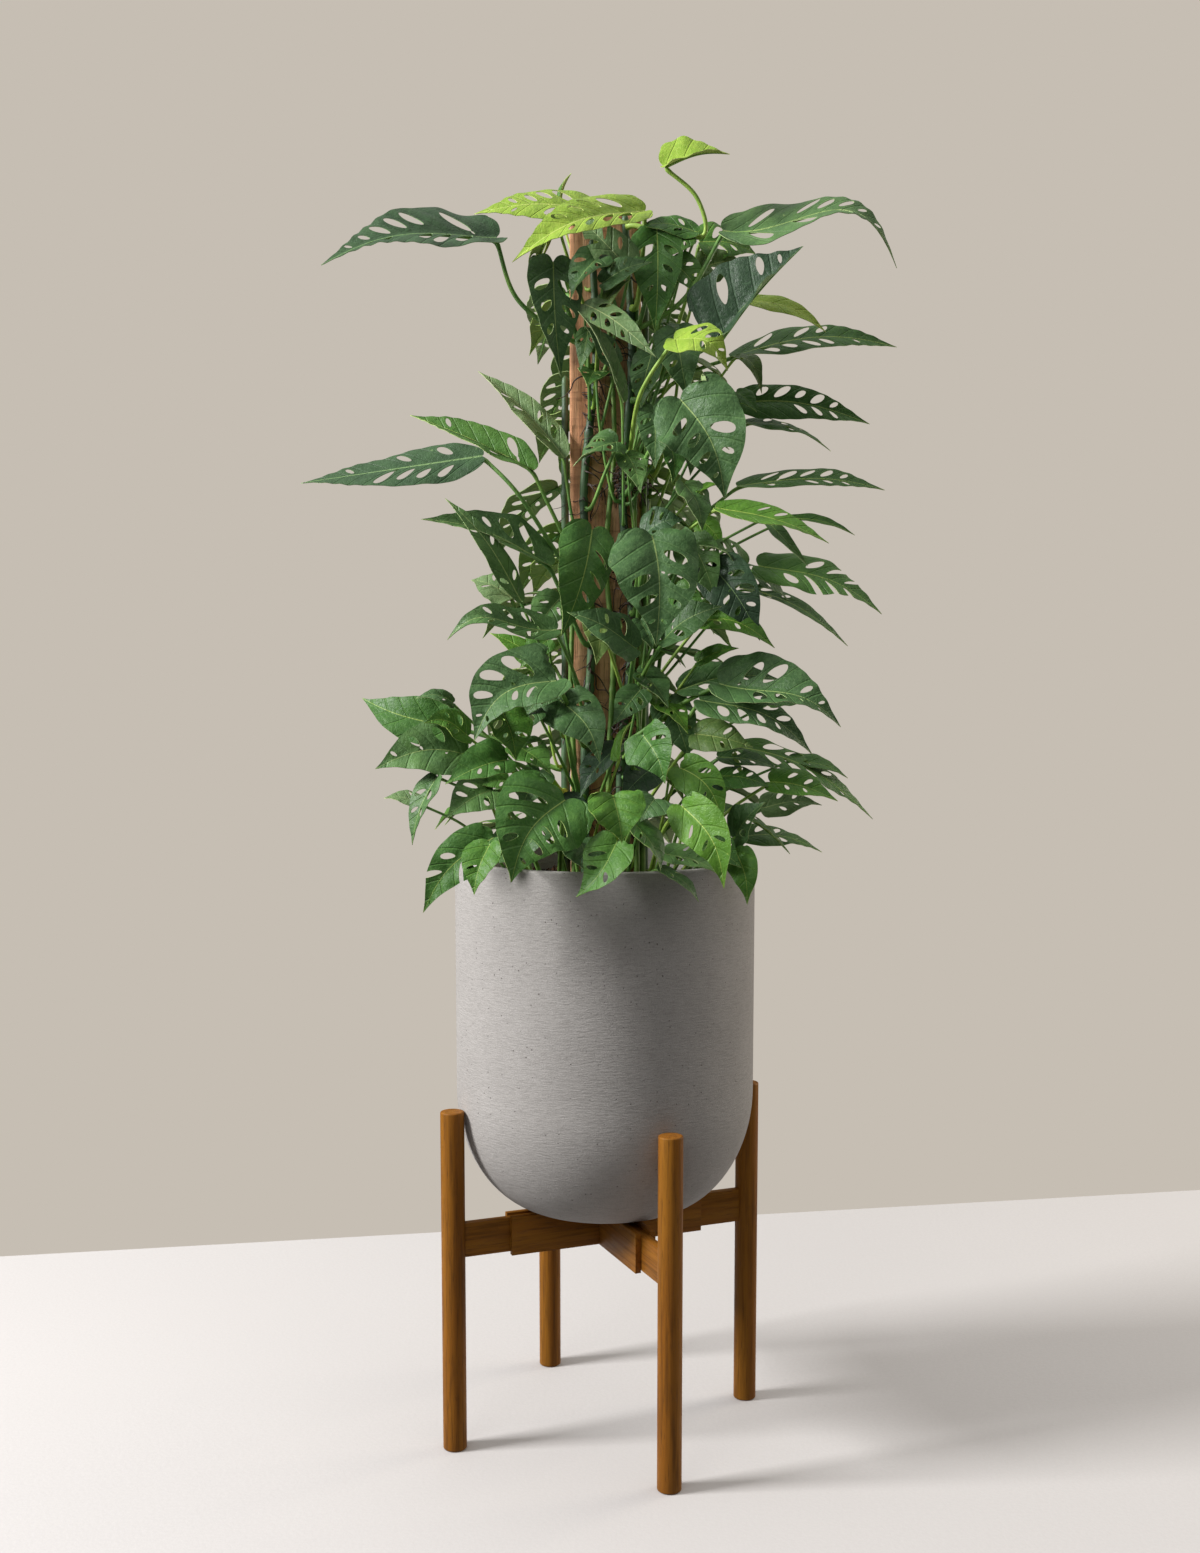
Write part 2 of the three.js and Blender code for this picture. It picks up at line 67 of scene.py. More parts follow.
# Driving dimensions of the planting
STAKE_WIDTH, STAKE_THICK, STAKE_TOP, STAKE_BURIED = 70.0, 40.0, 1229.0, 150.0
STEM_RADIUS, STEM_BURIED, GAP = 4.5, 20.0, 0.3
FRONT = -(STAKE_THICK / 2 + STEM_RADIUS + GAP)
BACK = -FRONT
RIGHT = STAKE_WIDTH / 2 + STEM_RADIUS + GAP
LEFT = -RIGHT

# The stretch of a leaf's midrib that its lateral veins leave from
VEIN_START, VEIN_END = 0.04, 0.86

# A field of smooth random values sums this many plane waves, and is raised to fill -1 to 1
SWELLS, SWELL_GAIN = 6, 1.7


def shade(code: str) -> tuple[float, float, float, float]:
    """Turns a screen colour into linear light.

    Args:
        code: Six hexadecimal digits, red first.

    Returns:
        Red, green, blue and an alpha of one.
    """
    parts = [int(code[i:i + 2], 16) / 255 for i in (0, 2, 4)]
    linear = [p / 12.92 if p <= 0.04045 else ((p + 0.055) / 1.055) ** 2.4 for p in parts]
    return (*linear, 1.0)


def unit(vector: np.ndarray) -> np.ndarray:
    """Gives vectors a length of one, along their last axis."""
    return vector / np.linalg.norm(vector, axis=-1, keepdims=True)


def smooth_curve(route: list[Triple], spacing: float) -> np.ndarray:
    """Runs a centripetal curve through a route and lays points on it at an even spacing.

    Args:
        route: The places that the curve passes, in millimetres.
        spacing: The distance between two points that come back, in millimetres.

    Returns:
        The points, one a row.
    """
    before, after = 2 * np.array(route[0]) - route[1], 2 * np.array(route[-1]) - route[-2]
    knots = np.array([before, *route, after])
    dense = []
    for p0, p1, p2, p3 in zip(knots, knots[1:], knots[2:], knots[3:]):
        pairs = ((p0, p1), (p1, p2), (p2, p3))
        d0, d1, d2 = (max(np.linalg.norm(b - a), 1e-6) ** 0.5 for a, b in pairs)
        m1 = ((p1 - p0) / d0 - (p2 - p0) / (d0 + d1) + (p2 - p1) / d1) * d1
        m2 = ((p2 - p1) / d1 - (p3 - p1) / (d1 + d2) + (p3 - p2) / d2) * d1
        t = np.linspace(0, 1, 24, endpoint=False)[:, None]
        h1, h2 = 2 * t ** 3 - 3 * t ** 2 + 1, t ** 3 - 2 * t ** 2 + t
        dense.append(h1 * p1 + h2 * m1 + (1 - h1) * p2 + (t ** 3 - t ** 2) * m2)
    line = np.vstack([*dense, knots[-2]])
    length = np.r_[0, np.cumsum(np.linalg.norm(np.diff(line, axis=0), axis=1))]
    wanted = np.linspace(0, length[-1], max(2, round(length[-1] / spacing) + 1))
    return np.column_stack([np.interp(wanted, length, line[:, axis]) for axis in range(3)])


def waves(points: np.ndarray, size: float, seed: int) -> np.ndarray:
    """Gives smooth random values from -1 to 1, the same at each run.

    Args:
        points: Places in millimetres, one a row.
        size: The length of one swell.
        seed: Which of the fields it is.

    Returns:
        One value for each place.
    """
    rng = np.random.default_rng(seed)
    value = np.zeros(len(points))
    for _ in range(SWELLS):
        heading = unit(rng.normal(size=3)) * rng.uniform(0.7, 1.5) * 2 * math.pi / size
        value += np.sin(points @ heading + rng.uniform(0, 2 * math.pi))
    return value / SWELLS * SWELL_GAIN


def add_object(name: str, data: bpy.types.ID) -> bpy.types.Object:
    """Puts a new object at the origin of the scene."""
    piece = bpy.data.objects.new(name, data)
    bpy.context.scene.collection.objects.link(piece)
    return piece


def mesh_object(
    name: str,
    points: np.ndarray,
    faces: list,
    materials: list[bpy.types.Material],
    slots: np.ndarray | None = None,
) -> bpy.types.Object:
    """Makes a smooth-shaded object from corners and faces.

    Args:
        name: The piece's name.
        points: Corners in millimetres.
        faces: Corner numbers of each face, anticlockwise from outside.
        materials: The materials that the faces use.
        slots: Which material each face uses, or None for the first.

    Returns:
        The object, at the origin, with its place in its mesh.
    """
    mesh = bpy.data.meshes.new(name)
    mesh.from_pydata((np.asarray(points) * MM).tolist(), [], [list(map(int, f)) for f in faces])
    for material in materials:
        mesh.materials.append(material)
    if slots is not None:
        mesh.polygons.foreach_set("material_index", np.asarray(slots, np.int32))
    mesh.polygons.foreach_set("use_smooth", np.ones(len(mesh.polygons), bool))
    mesh.update()
    return add_object(name, mesh)


def sharpen(mesh: bpy.types.Mesh, angle: float) -> None:
    """Marks the edges of a mesh that turn by more than an angle as sharp.

    Args:
        mesh: The mesh.
        angle: The least turn, in degrees.
    """
    bm = bmesh.new()
    bm.from_mesh(mesh)
    for edge in bm.edges:
        edge.smooth = len(edge.link_faces) == 2 and edge.calc_face_angle() < math.radians(angle)
    bm.to_mesh(mesh)
    bm.free()


def ring_faces(rows: int, count: int) -> list:
    """Joins rings of corners, one above the other, with rows of four-sided faces.

    Args:
        rows: How many rows of faces there are, one fewer than the rings.
        count: Corners in a ring.

    Returns:
        The corner numbers of each face.
    """
    pairs = [(row * count + k, row * count + (k + 1) % count) for row in range(rows) for k in range(count)]
    return [(a, b, b + count, a + count) for a, b in pairs]


def lathe(profile: list[tuple[float, float]], sides: int) -> tuple[np.ndarray, list]:
    """Turns a profile about the vertical axis into a closed body.

    Args:
        profile: Radius and height of each ring, from the axis round to the axis again,
            with the outside to its right.
        sides: Faces round the axis.

    Returns:
        Corners and faces.
    """
    rings = [(r, z) for r, z in profile if r > 1e-6]
    angles = np.arange(sides) * 2 * math.pi / sides
    points = [(r * math.cos(a), r * math.sin(a), z) for r, z in rings for a in angles]
    faces = ring_faces(len(rings) - 1, sides)
    last = (len(rings) - 1) * sides
    for centre, start, outward in ((profile[0], 0, False), (profile[-1], last, True)):
        points.append((0.0, 0.0, centre[1]))
        for side in range(sides):
            a, b = start + side, start + (side + 1) % sides
            faces.append((a, b, len(points) - 1) if outward else (b, a, len(points) - 1))
    return np.array(points), faces


def arc(centre: tuple[float, float], radius: float, start: float, end: float, steps: int) -> list:
    """Gives the points of a round stretch of a profile, its angles in degrees."""
    turns = [math.radians(start + (end - start) * k / steps) for k in range(steps + 1)]
    return [(centre[0] + radius * math.cos(t), centre[1] + radius * math.sin(t)) for t in turns]


def settle(piece: bpy.types.Object, body: str, slot: str, *nodes: str) -> bpy.types.Object:
    """Puts a finished piece on its body and hides the nodes of the frame that it replaces.

    Args:
        piece: The finished piece.
        body: The body that it moves with.
        slot: The record's material slot; not used.
        nodes: The nodes of the frame that it replaces.

    Returns:
        The same piece.
    """
    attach(piece, body)
    if nodes:
        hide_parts(*nodes)
    LOG.info("%s: %d faces on %s", piece.name, len(piece.data.polygons), body)
    return piece


class Graph:
    """Adds and links the nodes of one tree."""

    def __init__(self, tree: bpy.types.NodeTree) -> None:
        """Keeps the tree that the nodes go into."""
        self.tree = tree

    def add(self, kind: str, inputs: dict | None = None, **settings: object) -> bpy.types.Node:
        """Adds a node.

        Args:
            kind: The node's type.
            inputs: Values or sockets, by the name or number of the input.
            settings: Properties of the node.

        Returns:
            The new node.
        """
        node = self.tree.nodes.new(kind)
        for key, value in settings.items():
            setattr(node, key, value)
        for key, value in (inputs or {}).items():
            if isinstance(value, bpy.types.NodeSocket):
                self.tree.links.new(value, node.inputs[key])
            else:
                node.inputs[key].default_value = value
        return node


class Shader(Graph):
    """The nodes of one material, which end in a single surface."""

    def __init__(self, name: str) -> None:
        """Starts a material of that name."""
        self.material = bpy.data.materials.new(name)
        self.material.use_nodes = True
        super().__init__(self.material.node_tree)
        self.surface = self.tree.nodes["Principled BSDF"]

    def place(self, stretch: Triple = (1, 1, 1), turn: float = 0.0) -> bpy.types.NodeSocket:
        """Gives the piece's own coordinates.

        Args:
            stretch: How many times longer a pattern is along each axis.
            turn: The turn of those axes about the vertical, in radians.

        Returns:
            A vector in metres.
        """
        own = self.add("ShaderNodeTexCoord").outputs["Object"]
        inputs = {"Vector": own, "Rotation": (0, 0, turn), "Scale": stretch}
        return self.add("ShaderNodeMapping", inputs, vector_type="TEXTURE").outputs[0]

    def noise(
        self, where: bpy.types.NodeSocket, size: float, detail: float = 2, rough: float = 0.5,
        warp: float = 0,
    ) -> bpy.types.NodeSocket:
        """Gives soft noise from 0 to 1 whose swells are about size metres long."""
        inputs = {"Vector": where, "Scale": 1 / size, "Detail": detail, "Roughness": rough}
        return self.add("ShaderNodeTexNoise", {**inputs, "Distortion": warp}).outputs["Fac"]

    def cells(self, where: bpy.types.NodeSocket, size: float, feature: str = "F1") -> bpy.types.Node:
        """Adds cells about size metres wide."""
        return self.add("ShaderNodeTexVoronoi", {"Vector": where, "Scale": 1 / size}, feature=feature)

    def math(self, operation: str, first: object, second: object = 0.0) -> bpy.types.NodeSocket:
        """Gives the result of one operation."""
        return self.add("ShaderNodeMath", {0: first, 1: second}, operation=operation).outputs[0]

    def times(self, first: object, second: object) -> bpy.types.NodeSocket:
        """Gives a product."""
        return self.math("MULTIPLY", first, second)

    def plus(self, first: object, second: object) -> bpy.types.NodeSocket:
        """Gives a sum."""
        return self.math("ADD", first, second)

    def step(
        self, value: bpy.types.NodeSocket, low: float, high: float, start: float = 0, end: float = 1,
    ) -> bpy.types.NodeSocket:
        """Goes smoothly from start to end while the value goes from low to high."""
        inputs = {"Value": value, "From Min": low, "From Max": high, "To Min": start, "To Max": end}
        return self.add("ShaderNodeMapRange", inputs, interpolation_type="SMOOTHSTEP").outputs[0]

    def blend(self, share: object, first: object, second: object) -> bpy.types.NodeSocket:
        """Mixes two colours, each a socket or a screen colour's code."""
        colours = [shade(c) if isinstance(c, str) else c for c in (first, second)]
        inputs = {0: share, 6: colours[0], 7: colours[1]}
        return self.add("ShaderNodeMix", inputs, data_type="RGBA").outputs[2]

    def bump(self, height: bpy.types.NodeSocket, depth: float) -> bpy.types.NodeSocket:
        """Gives a normal for a height from 0 to 1 that is depth metres high."""
        inputs = {"Height": height, "Distance": depth, "Strength": 1.0}
        return self.add("ShaderNodeBump", inputs).outputs[0]

    def finish(
        self, colour: object, roughness: object, normal: bpy.types.NodeSocket, **fixed: float,
    ) -> bpy.types.Material:
        """Feeds the surface.

        Args:
            colour: A socket or a linear colour.
            roughness: A socket or a number.
            normal: What the bumps give.
            fixed: Other inputs of the surface, with _ for a blank.

        Returns:
            The finished material.
        """
        wanted = {"Base Color": colour, "Roughness": roughness, "Normal": normal}
        wanted.update({key.replace("_", " "): value for key, value in fixed.items()})
        for key, value in wanted.items():
            if isinstance(value, bpy.types.NodeSocket):
                self.tree.links.new(value, self.surface.inputs[key])
            else:
                self.surface.inputs[key].default_value = value
        return self.material


@dataclass(frozen=True)
class StonewareFinish:
    """Matte grey cast stone with fine pores and faint level marks."""

    pale: str = "B5B1AE"
    deep: str = "AFABA8"
    pore: str = "69645F"
    pore_spacing: float = 0.0062
    pore_size: float = 0.14
    whole_share: float = 0.62

    def make(self) -> bpy.types.Material:
        """Makes the material."""
        s = Shader("stoneware")
        where = s.place()
        level = s.place((6, 6, 1))
        clouds = s.noise(where, 0.07, 4, 0.6)
        grain = s.noise(where, 0.0011, 3, 0.7)
        marks = s.noise(level, 0.0016, 3, 0.6)
        cell = s.cells(where, self.pore_spacing)
        lot = s.add("ShaderNodeSeparateColor", {0: cell.outputs["Color"]}).outputs[0]
        lone = s.math("GREATER_THAN", lot, self.whole_share)
        edge = s.times(s.noise(where, 0.02, 1), self.pore_size)
        past = s.math("SUBTRACT", cell.outputs["Distance"], edge)
        pore = s.times(s.step(past, 0.015, 0.05, 1, 0), lone)
        colour = s.blend(s.step(clouds, 0.3, 0.7), self.pale, self.deep)
        colour = s.blend(s.step(grain, 0.35, 0.75, 0, 0.36), colour, self.pore)
        colour = s.blend(s.step(marks, 0.4, 0.7, 0, 0.2), colour, self.pore)
        colour = s.blend(s.times(pore, 0.8), colour, self.pore)
        height = s.math("SUBTRACT", s.plus(s.times(grain, 0.35), s.times(marks, 0.5)), pore)
        return s.finish(colour, s.step(grain, 0.2, 0.8, 0.78, 0.92), s.bump(height, 0.001))


class Grain(Enum):
    """The way that a piece of wood's grain runs."""

    UPRIGHT = "upright"
    LONG = "long"
    CROSS = "cross"


@dataclass(frozen=True)
class WalnutFinish:
    """Brown-stained, oiled hardwood whose grain runs along the piece."""

    grain: Grain
    pale: str = "97641D"
    body: str = "895519"
    deep: str = "5E3911"
    pore: str = "40240E"

    def make(self) -> bpy.types.Material:
        """Makes the material."""
        s = Shader(f"walnut_{self.grain.value}")
        stretch = (1, 1, 22) if self.grain is Grain.UPRIGHT else (22, 1, 1)
        turn = STAND_TURN + (math.pi / 2 if self.grain is Grain.CROSS else 0)
        where = s.place(stretch, turn)
        wide = s.noise(where, 0.016, 3, 0.55, 0.4)
        lines = s.noise(where, 0.0035, 4, 0.6, 0.3)
        fine = s.noise(where, 0.0008, 2, 0.6)
        colour = s.blend(s.step(wide, 0.3, 0.7), self.pale, self.body)
        colour = s.blend(s.step(lines, 0.42, 0.72, 0, 0.75), colour, self.deep)
        colour = s.blend(s.step(fine, 0.6, 0.75, 0, 0.6), colour, self.pore)
        height = s.math("SUBTRACT", s.times(lines, 0.4), s.step(fine, 0.55, 0.75))
        roughness = s.step(lines, 0.2, 0.8, 0.42, 0.58)
        return s.finish(colour, roughness, s.bump(height, 0.0002), Specular_IOR_Level=0.18)


@dataclass(frozen=True)
class TimberFinish:
    """Rough-sawn reddish softwood, furred and stained by damp."""

    pale: str = "DEB086"
    body: str = "C68C64"
    deep: str = "7E5038"
    damp: str = "41281C"

    def make(self) -> bpy.types.Material:
        """Makes the material."""
        s = Shader("rough_timber")
        long = s.place((1, 1, 26))
        where = s.place()
        saw = s.place((7, 7, 1))
        wide = s.noise(long, 0.011, 4, 0.6, 0.6)
        fibre = s.noise(long, 0.0016, 4, 0.7)
        cuts = s.noise(saw, 0.0042, 3, 0.6, 0.2)
        stains = s.noise(where, 0.07, 4, 0.6)
        colour = s.blend(s.step(wide, 0.32, 0.66), self.pale, self.body)
        colour = s.blend(s.step(fibre, 0.45, 0.75, 0, 0.8), colour, self.deep)
        colour = s.blend(s.step(cuts, 0.52, 0.75, 0, 0.5), colour, self.deep)
        colour = s.blend(s.step(stains, 0.52, 0.78, 0, 0.7), colour, self.damp)
        height = s.plus(s.times(fibre, 0.6), s.times(cuts, 0.6))
        return s.finish(colour, 0.88, s.bump(height, 0.0012))


@dataclass(frozen=True)
class EarthFinish:
    """Crumbly earth or bark, mottled from dark to pale."""

    name: str
    dark: str
    pale: str
    size: float = 0.006

    def make(self) -> bpy.types.Material:
        """Makes the material."""
        s = Shader(self.name)
        where = s.place()
        lumps = s.noise(where, self.size, 5, 0.7)
        colour = s.blend(s.step(lumps, 0.35, 0.75), self.dark, self.pale)
        return s.finish(colour, 0.95, s.bump(lumps, self.size / 4))


@dataclass(frozen=True)
class BarkFinish:
    """Green skin of a stem or a petiole, with long streaks and corky flecks."""

    name: str
    pale: str
    deep: str
    cork: str
    corked: float = 0.5

    def make(self) -> bpy.types.Material:
        """Makes the material."""
        s = Shader(self.name)
        where = s.place()
        long = s.place((1, 1, 9))
        clouds = s.noise(where, 0.03, 3, 0.6)
        streaks = s.noise(long, 0.0022, 3, 0.6)
        flecks = s.noise(where, 0.0045, 4, 0.7)
        colour = s.blend(s.step(clouds, 0.3, 0.7), self.pale, self.deep)
        colour = s.blend(s.step(streaks, 0.45, 0.75, 0, 0.5), colour, self.deep)
        colour = s.blend(s.step(flecks, 0.58, 0.72, 0, self.corked), colour, self.cork)
        height = s.plus(streaks, s.times(flecks, 0.6))
        return s.finish(colour, s.step(flecks, 0.3, 0.8, 0.45, 0.7), s.bump(height, 0.0004))


@dataclass(frozen=True)
class LeafFinish:
    """A pierced leaf's skin: waxy above with a pale midrib, dull and paler below."""

    name: str
    upper: str
    upper_deep: str
    under: str
    rib: str
    margin: str
    vein: str

    def make(self) -> bpy.types.Material:
        """Makes the material, which reads where a point is on its leaf from two attributes."""
        s = Shader(self.name)
        spot = s.add("ShaderNodeAttribute", attribute_name="place_on_leaf").outputs["Vector"]
        look = s.add("ShaderNodeAttribute", attribute_name="leaf_look").outputs["Vector"]
        along, aside, under = s.add("ShaderNodeSeparateXYZ", {0: spot}).outputs
        tone, veins, slant = s.add("ShaderNodeSeparateXYZ", {0: look}).outputs
        out = s.math("ABSOLUTE", aside)
        where = s.place()
        # The lateral veins leave the midrib at even steps and run forward to the margin
        ahead = s.plus(s.times(out, slant), VEIN_START)
        phase = s.times(s.math("SUBTRACT", along, ahead), veins)
        part = s.math("FRACT", s.plus(phase, 0.5))
        fold = s.math("ABSOLUTE", s.math("SUBTRACT", part, 0.5))
        vein = s.step(fold, 0.012, 0.075, 1, 0)
        rib_width = s.step(along, 0, 1, 0.0075, 0.0025)
        rib = s.step(s.math("DIVIDE", out, rib_width), 0.55, 1.0, 1, 0)
        mesh = s.cells(where, 0.0042, "DISTANCE_TO_EDGE").outputs["Distance"]
        net = s.step(mesh, 0.0, 0.12, 1, 0)
        clouds = s.noise(where, 0.022, 4, 0.6)
        mottle = s.noise(where, 0.0035, 3, 0.6)
        mix = s.step(s.plus(s.times(clouds, 0.7), s.times(tone, 0.5)), 0.3, 0.75)
        upper = s.blend(mix, self.upper_deep, self.upper)
        upper = s.blend(s.step(mottle, 0.4, 0.75, 0, 0.3), upper, self.vein)
        upper = s.blend(s.times(vein, 0.2), upper, self.vein)
        upper = s.blend(s.times(net, 0.10), upper, self.vein)
        flecks = s.step(s.noise(where, 0.009, 3, 0.5), 0.74, 0.80, 0, 0.5)
        upper = s.blend(flecks, upper, self.rib)
        upper = s.blend(s.times(rib, 0.7), upper, self.rib)
        lower = s.blend(s.times(clouds, 0.4), self.under, self.upper)
        lower = s.blend(s.times(vein, 0.5), lower, self.rib)
        colour = s.blend(s.step(under, 0.45, 0.55), upper, lower)
        rim = s.times(s.step(under, 0.02, 0.12), s.step(under, 0.88, 0.98, 1, 0))
        colour = s.blend(rim, colour, self.margin)
        high = s.plus(s.times(vein, -0.6), s.times(net, -0.12))
        high = s.plus(high, s.times(mottle, 0.25))
        creases = s.noise(where, 0.011, 4, 0.65)
        high = s.plus(high, s.times(creases, 1.6))
        dull = s.plus(s.step(mottle, 0.2, 0.8, 0.40, 0.54), s.times(under, 0.2))
        return s.finish(colour, dull, s.bump(high, 0.0009), Specular_IOR_Level=0.28)


class Tone(Enum):
    """The colours that the vine's leaves have."""

    DARK = LeafFinish("leaf_dark", "5C8242", "3E6034", "96AA74", "A6BC72", "A2B87C", "70945A")
    MID = LeafFinish("leaf_mid", "527C32", "3B6628", "92A868", "A6BE62", "A6BE70", "669242")
    BRIGHT = LeafFinish("leaf_bright", "588628", "427024", "98AE62", "B4C862", "ACC668", "749F3C")
    TEAL = LeafFinish("leaf_teal", "3C5A36", "28402A", "86A070", "86A66C", "88A872", "4E704C")
    LIME = LeafFinish("leaf_lime", "A9C043", "86A835", "AEC068", "D2DC80", "CEDC80", "BCCE5C")
    SAGE = LeafFinish("leaf_sage", "7C9560", "617F4E", "8FA272", "B9C68A", "B2C28A", "93A874")
    OLIVE = LeafFinish("leaf_olive", "6B8240", "506C36", "8F9E64", "B2BD70", "A8B874", "80944C")

    @property
    def slot(self) -> str:
        """The record's slot for this tone."""
        shared = {Tone.SAGE: "leaf_mid", Tone.OLIVE: "leaf_mid", Tone.TEAL: "leaf_dark"}
        return shared.get(self, self.value.name)

    @property
    def pale_petiole(self) -> bool:
        """True for young leaves, whose petioles are yellow-green."""
        return self in (Tone.LIME, Tone.BRIGHT, Tone.OLIVE)


def bake_modifiers(piece: bpy.types.Object) -> bpy.types.Object:
    """Turns a piece and its modifiers into a plain mesh."""
    seen = piece.evaluated_get(bpy.context.evaluated_depsgraph_get())
    mesh = bpy.data.meshes.new_from_object(seen)
    piece.modifiers.clear()
    old, piece.data = piece.data, mesh
    bpy.data.meshes.remove(old)
    mesh.name = piece.name
    return piece


class PieceTree(Graph):
    """A geometry tree with named inputs, which ends in plain faces of one finish."""

    def __init__(self, name: str, kinds: dict[str, str]) -> None:
        """Starts a tree.

        Args:
            name: The tree's name.
            kinds: The kind of each input by its label, the geometry first.
        """
        super().__init__(bpy.data.node_groups.new(name, "GeometryNodeTree"))
        sockets = self.tree.interface
        self.labels = {}
        for label, kind in kinds.items():
            socket = sockets.new_socket(label, in_out="INPUT", socket_type=f"NodeSocket{kind}")
            self.labels[label] = socket.identifier
        sockets.new_socket("Piece", in_out="OUTPUT", socket_type="NodeSocketGeometry")
        self.given = self.add("NodeGroupInput").outputs

    def end(self, shape: bpy.types.NodeSocket) -> None:
        """Makes the shape plain, gives it its finish and leads it out."""
        shape = self.add("GeometryNodeRealizeInstances", {"Geometry": shape}).outputs[0]
        inputs = {"Geometry": shape, "Material": self.given["Finish"]}
        self.add("NodeGroupOutput", {"Piece": self.add("GeometryNodeSetMaterial", inputs).outputs[0]})

    def run(self, name: str, mesh: bpy.types.Mesh, **values: object) -> bpy.types.Object:
        """Makes a piece from a mesh.

        Args:
            name: The piece's name.
            mesh: What the tree works on.
            values: The tree's other inputs by their labels.

        Returns:
            The piece, a plain mesh at the origin.
        """
        piece = add_object(name, mesh)
        modifier = piece.modifiers.new(self.tree.name, "NODES")
        modifier.node_group = self.tree
        for label, value in values.items():
            modifier[self.labels[label]] = value
        return bake_modifiers(piece)


class BarTree(PieceTree):
    """Lays a round bar along each line of a mesh, as thick as the line's points say."""

    def __init__(self) -> None:
        """Builds the tree once; each bar then has a modifier of its own."""
        super().__init__("round_bar", {"Line": "Geometry", "Sides": "Int", "Finish": "Material"})
        thick = self.add("GeometryNodeInputNamedAttribute", {"Name": "thickness"}, data_type="FLOAT")
        line = self.add("GeometryNodeMeshToCurve", {"Mesh": self.given["Line"]}).outputs[0]
        line = self.add("GeometryNodeSetCurveRadius", {"Curve": line, "Radius": 1.0}).outputs[0]
        inputs = {"Resolution": self.given["Sides"], "Radius": 1.0}
        ring = self.add("GeometryNodeCurvePrimitiveCircle", inputs).outputs[0]
        inputs = {"Curve": line, "Profile Curve": ring, "Scale": thick.outputs[0], "Fill Caps": True}
        bar = self.add("GeometryNodeCurveToMesh", inputs).outputs[0]
        self.end(self.add("GeometryNodeSetShadeSmooth", {"Geometry": bar}).outputs[0])

    def lay(
        self,
        name: str,
        lines: list[tuple[np.ndarray, np.ndarray]],
        sides: int,
        finish: bpy.types.Material,
    ) -> bpy.types.Object:
        """Makes a piece of round bars.

        Args:
            name: The piece's name.
            lines: For each bar its points and its radius at each of them, in millimetres.
            sides: Faces round a bar.
            finish: The bars' material.

        Returns:
            The piece, a plain mesh at the origin.
        """
        firsts = np.cumsum([0] + [len(points) for points, _ in lines])
        edges = [(f + k, f + k + 1) for f, (p, _) in zip(firsts, lines) for k in range(len(p) - 1)]
        mesh = bpy.data.meshes.new(name)
        mesh.from_pydata((np.vstack([points for points, _ in lines]) * MM).tolist(), edges, [])
        radii = np.concatenate([radii for _, radii in lines]).astype(np.float32) * MM
        mesh.attributes.new("thickness", "FLOAT", "POINT").data.foreach_set("value", radii)
        return self.run(name, mesh, Sides=sides, Finish=finish)


class ScatterTree(PieceTree):
    """Strews lumps of a size over a surface."""

    def __init__(self) -> None:
        """Builds the tree once."""
        kinds = {"Density": "Float", "Size": "Float", "Flatness": "Float", "Seed": "Int"}
        super().__init__("strewn_lumps", {"Ground": "Geometry", **kinds, "Finish": "Material"})
        given = self.given
        inputs = {"Mesh": given["Ground"], "Density": given["Density"], "Seed": given["Seed"]}
        spots = self.add("GeometryNodeDistributePointsOnFaces", inputs).outputs[0]
        lump = self.add("GeometryNodeMeshIcoSphere", {"Radius": 1.0, "Subdivisions": 1}).outputs[0]
        flat = self.add("ShaderNodeCombineXYZ", {0: 1.5, 1: 0.9, 2: given["Flatness"]}).outputs[0]
        lump = self.add("GeometryNodeTransform", {"Geometry": lump, "Scale": flat}).outputs[0]
        inputs = {0: (0.0, 0.0, 0.0), 1: (6.3, 6.3, 6.3), 8: 3}
        turn = self.add("FunctionNodeRandomValue", inputs, data_type="FLOAT_VECTOR").outputs[0]
        inputs = {2: 0.45, 3: 1.5, 8: 5}
        share = self.add("FunctionNodeRandomValue", inputs, data_type="FLOAT").outputs[1]
        size = self.add("ShaderNodeMath", {0: share, 1: given["Size"]}, operation="MULTIPLY").outputs[0]
        inputs = {"Points": spots, "Instance": lump, "Rotation": turn, "Scale": size}
        self.end(self.add("GeometryNodeInstanceOnPoints", inputs).outputs[0])


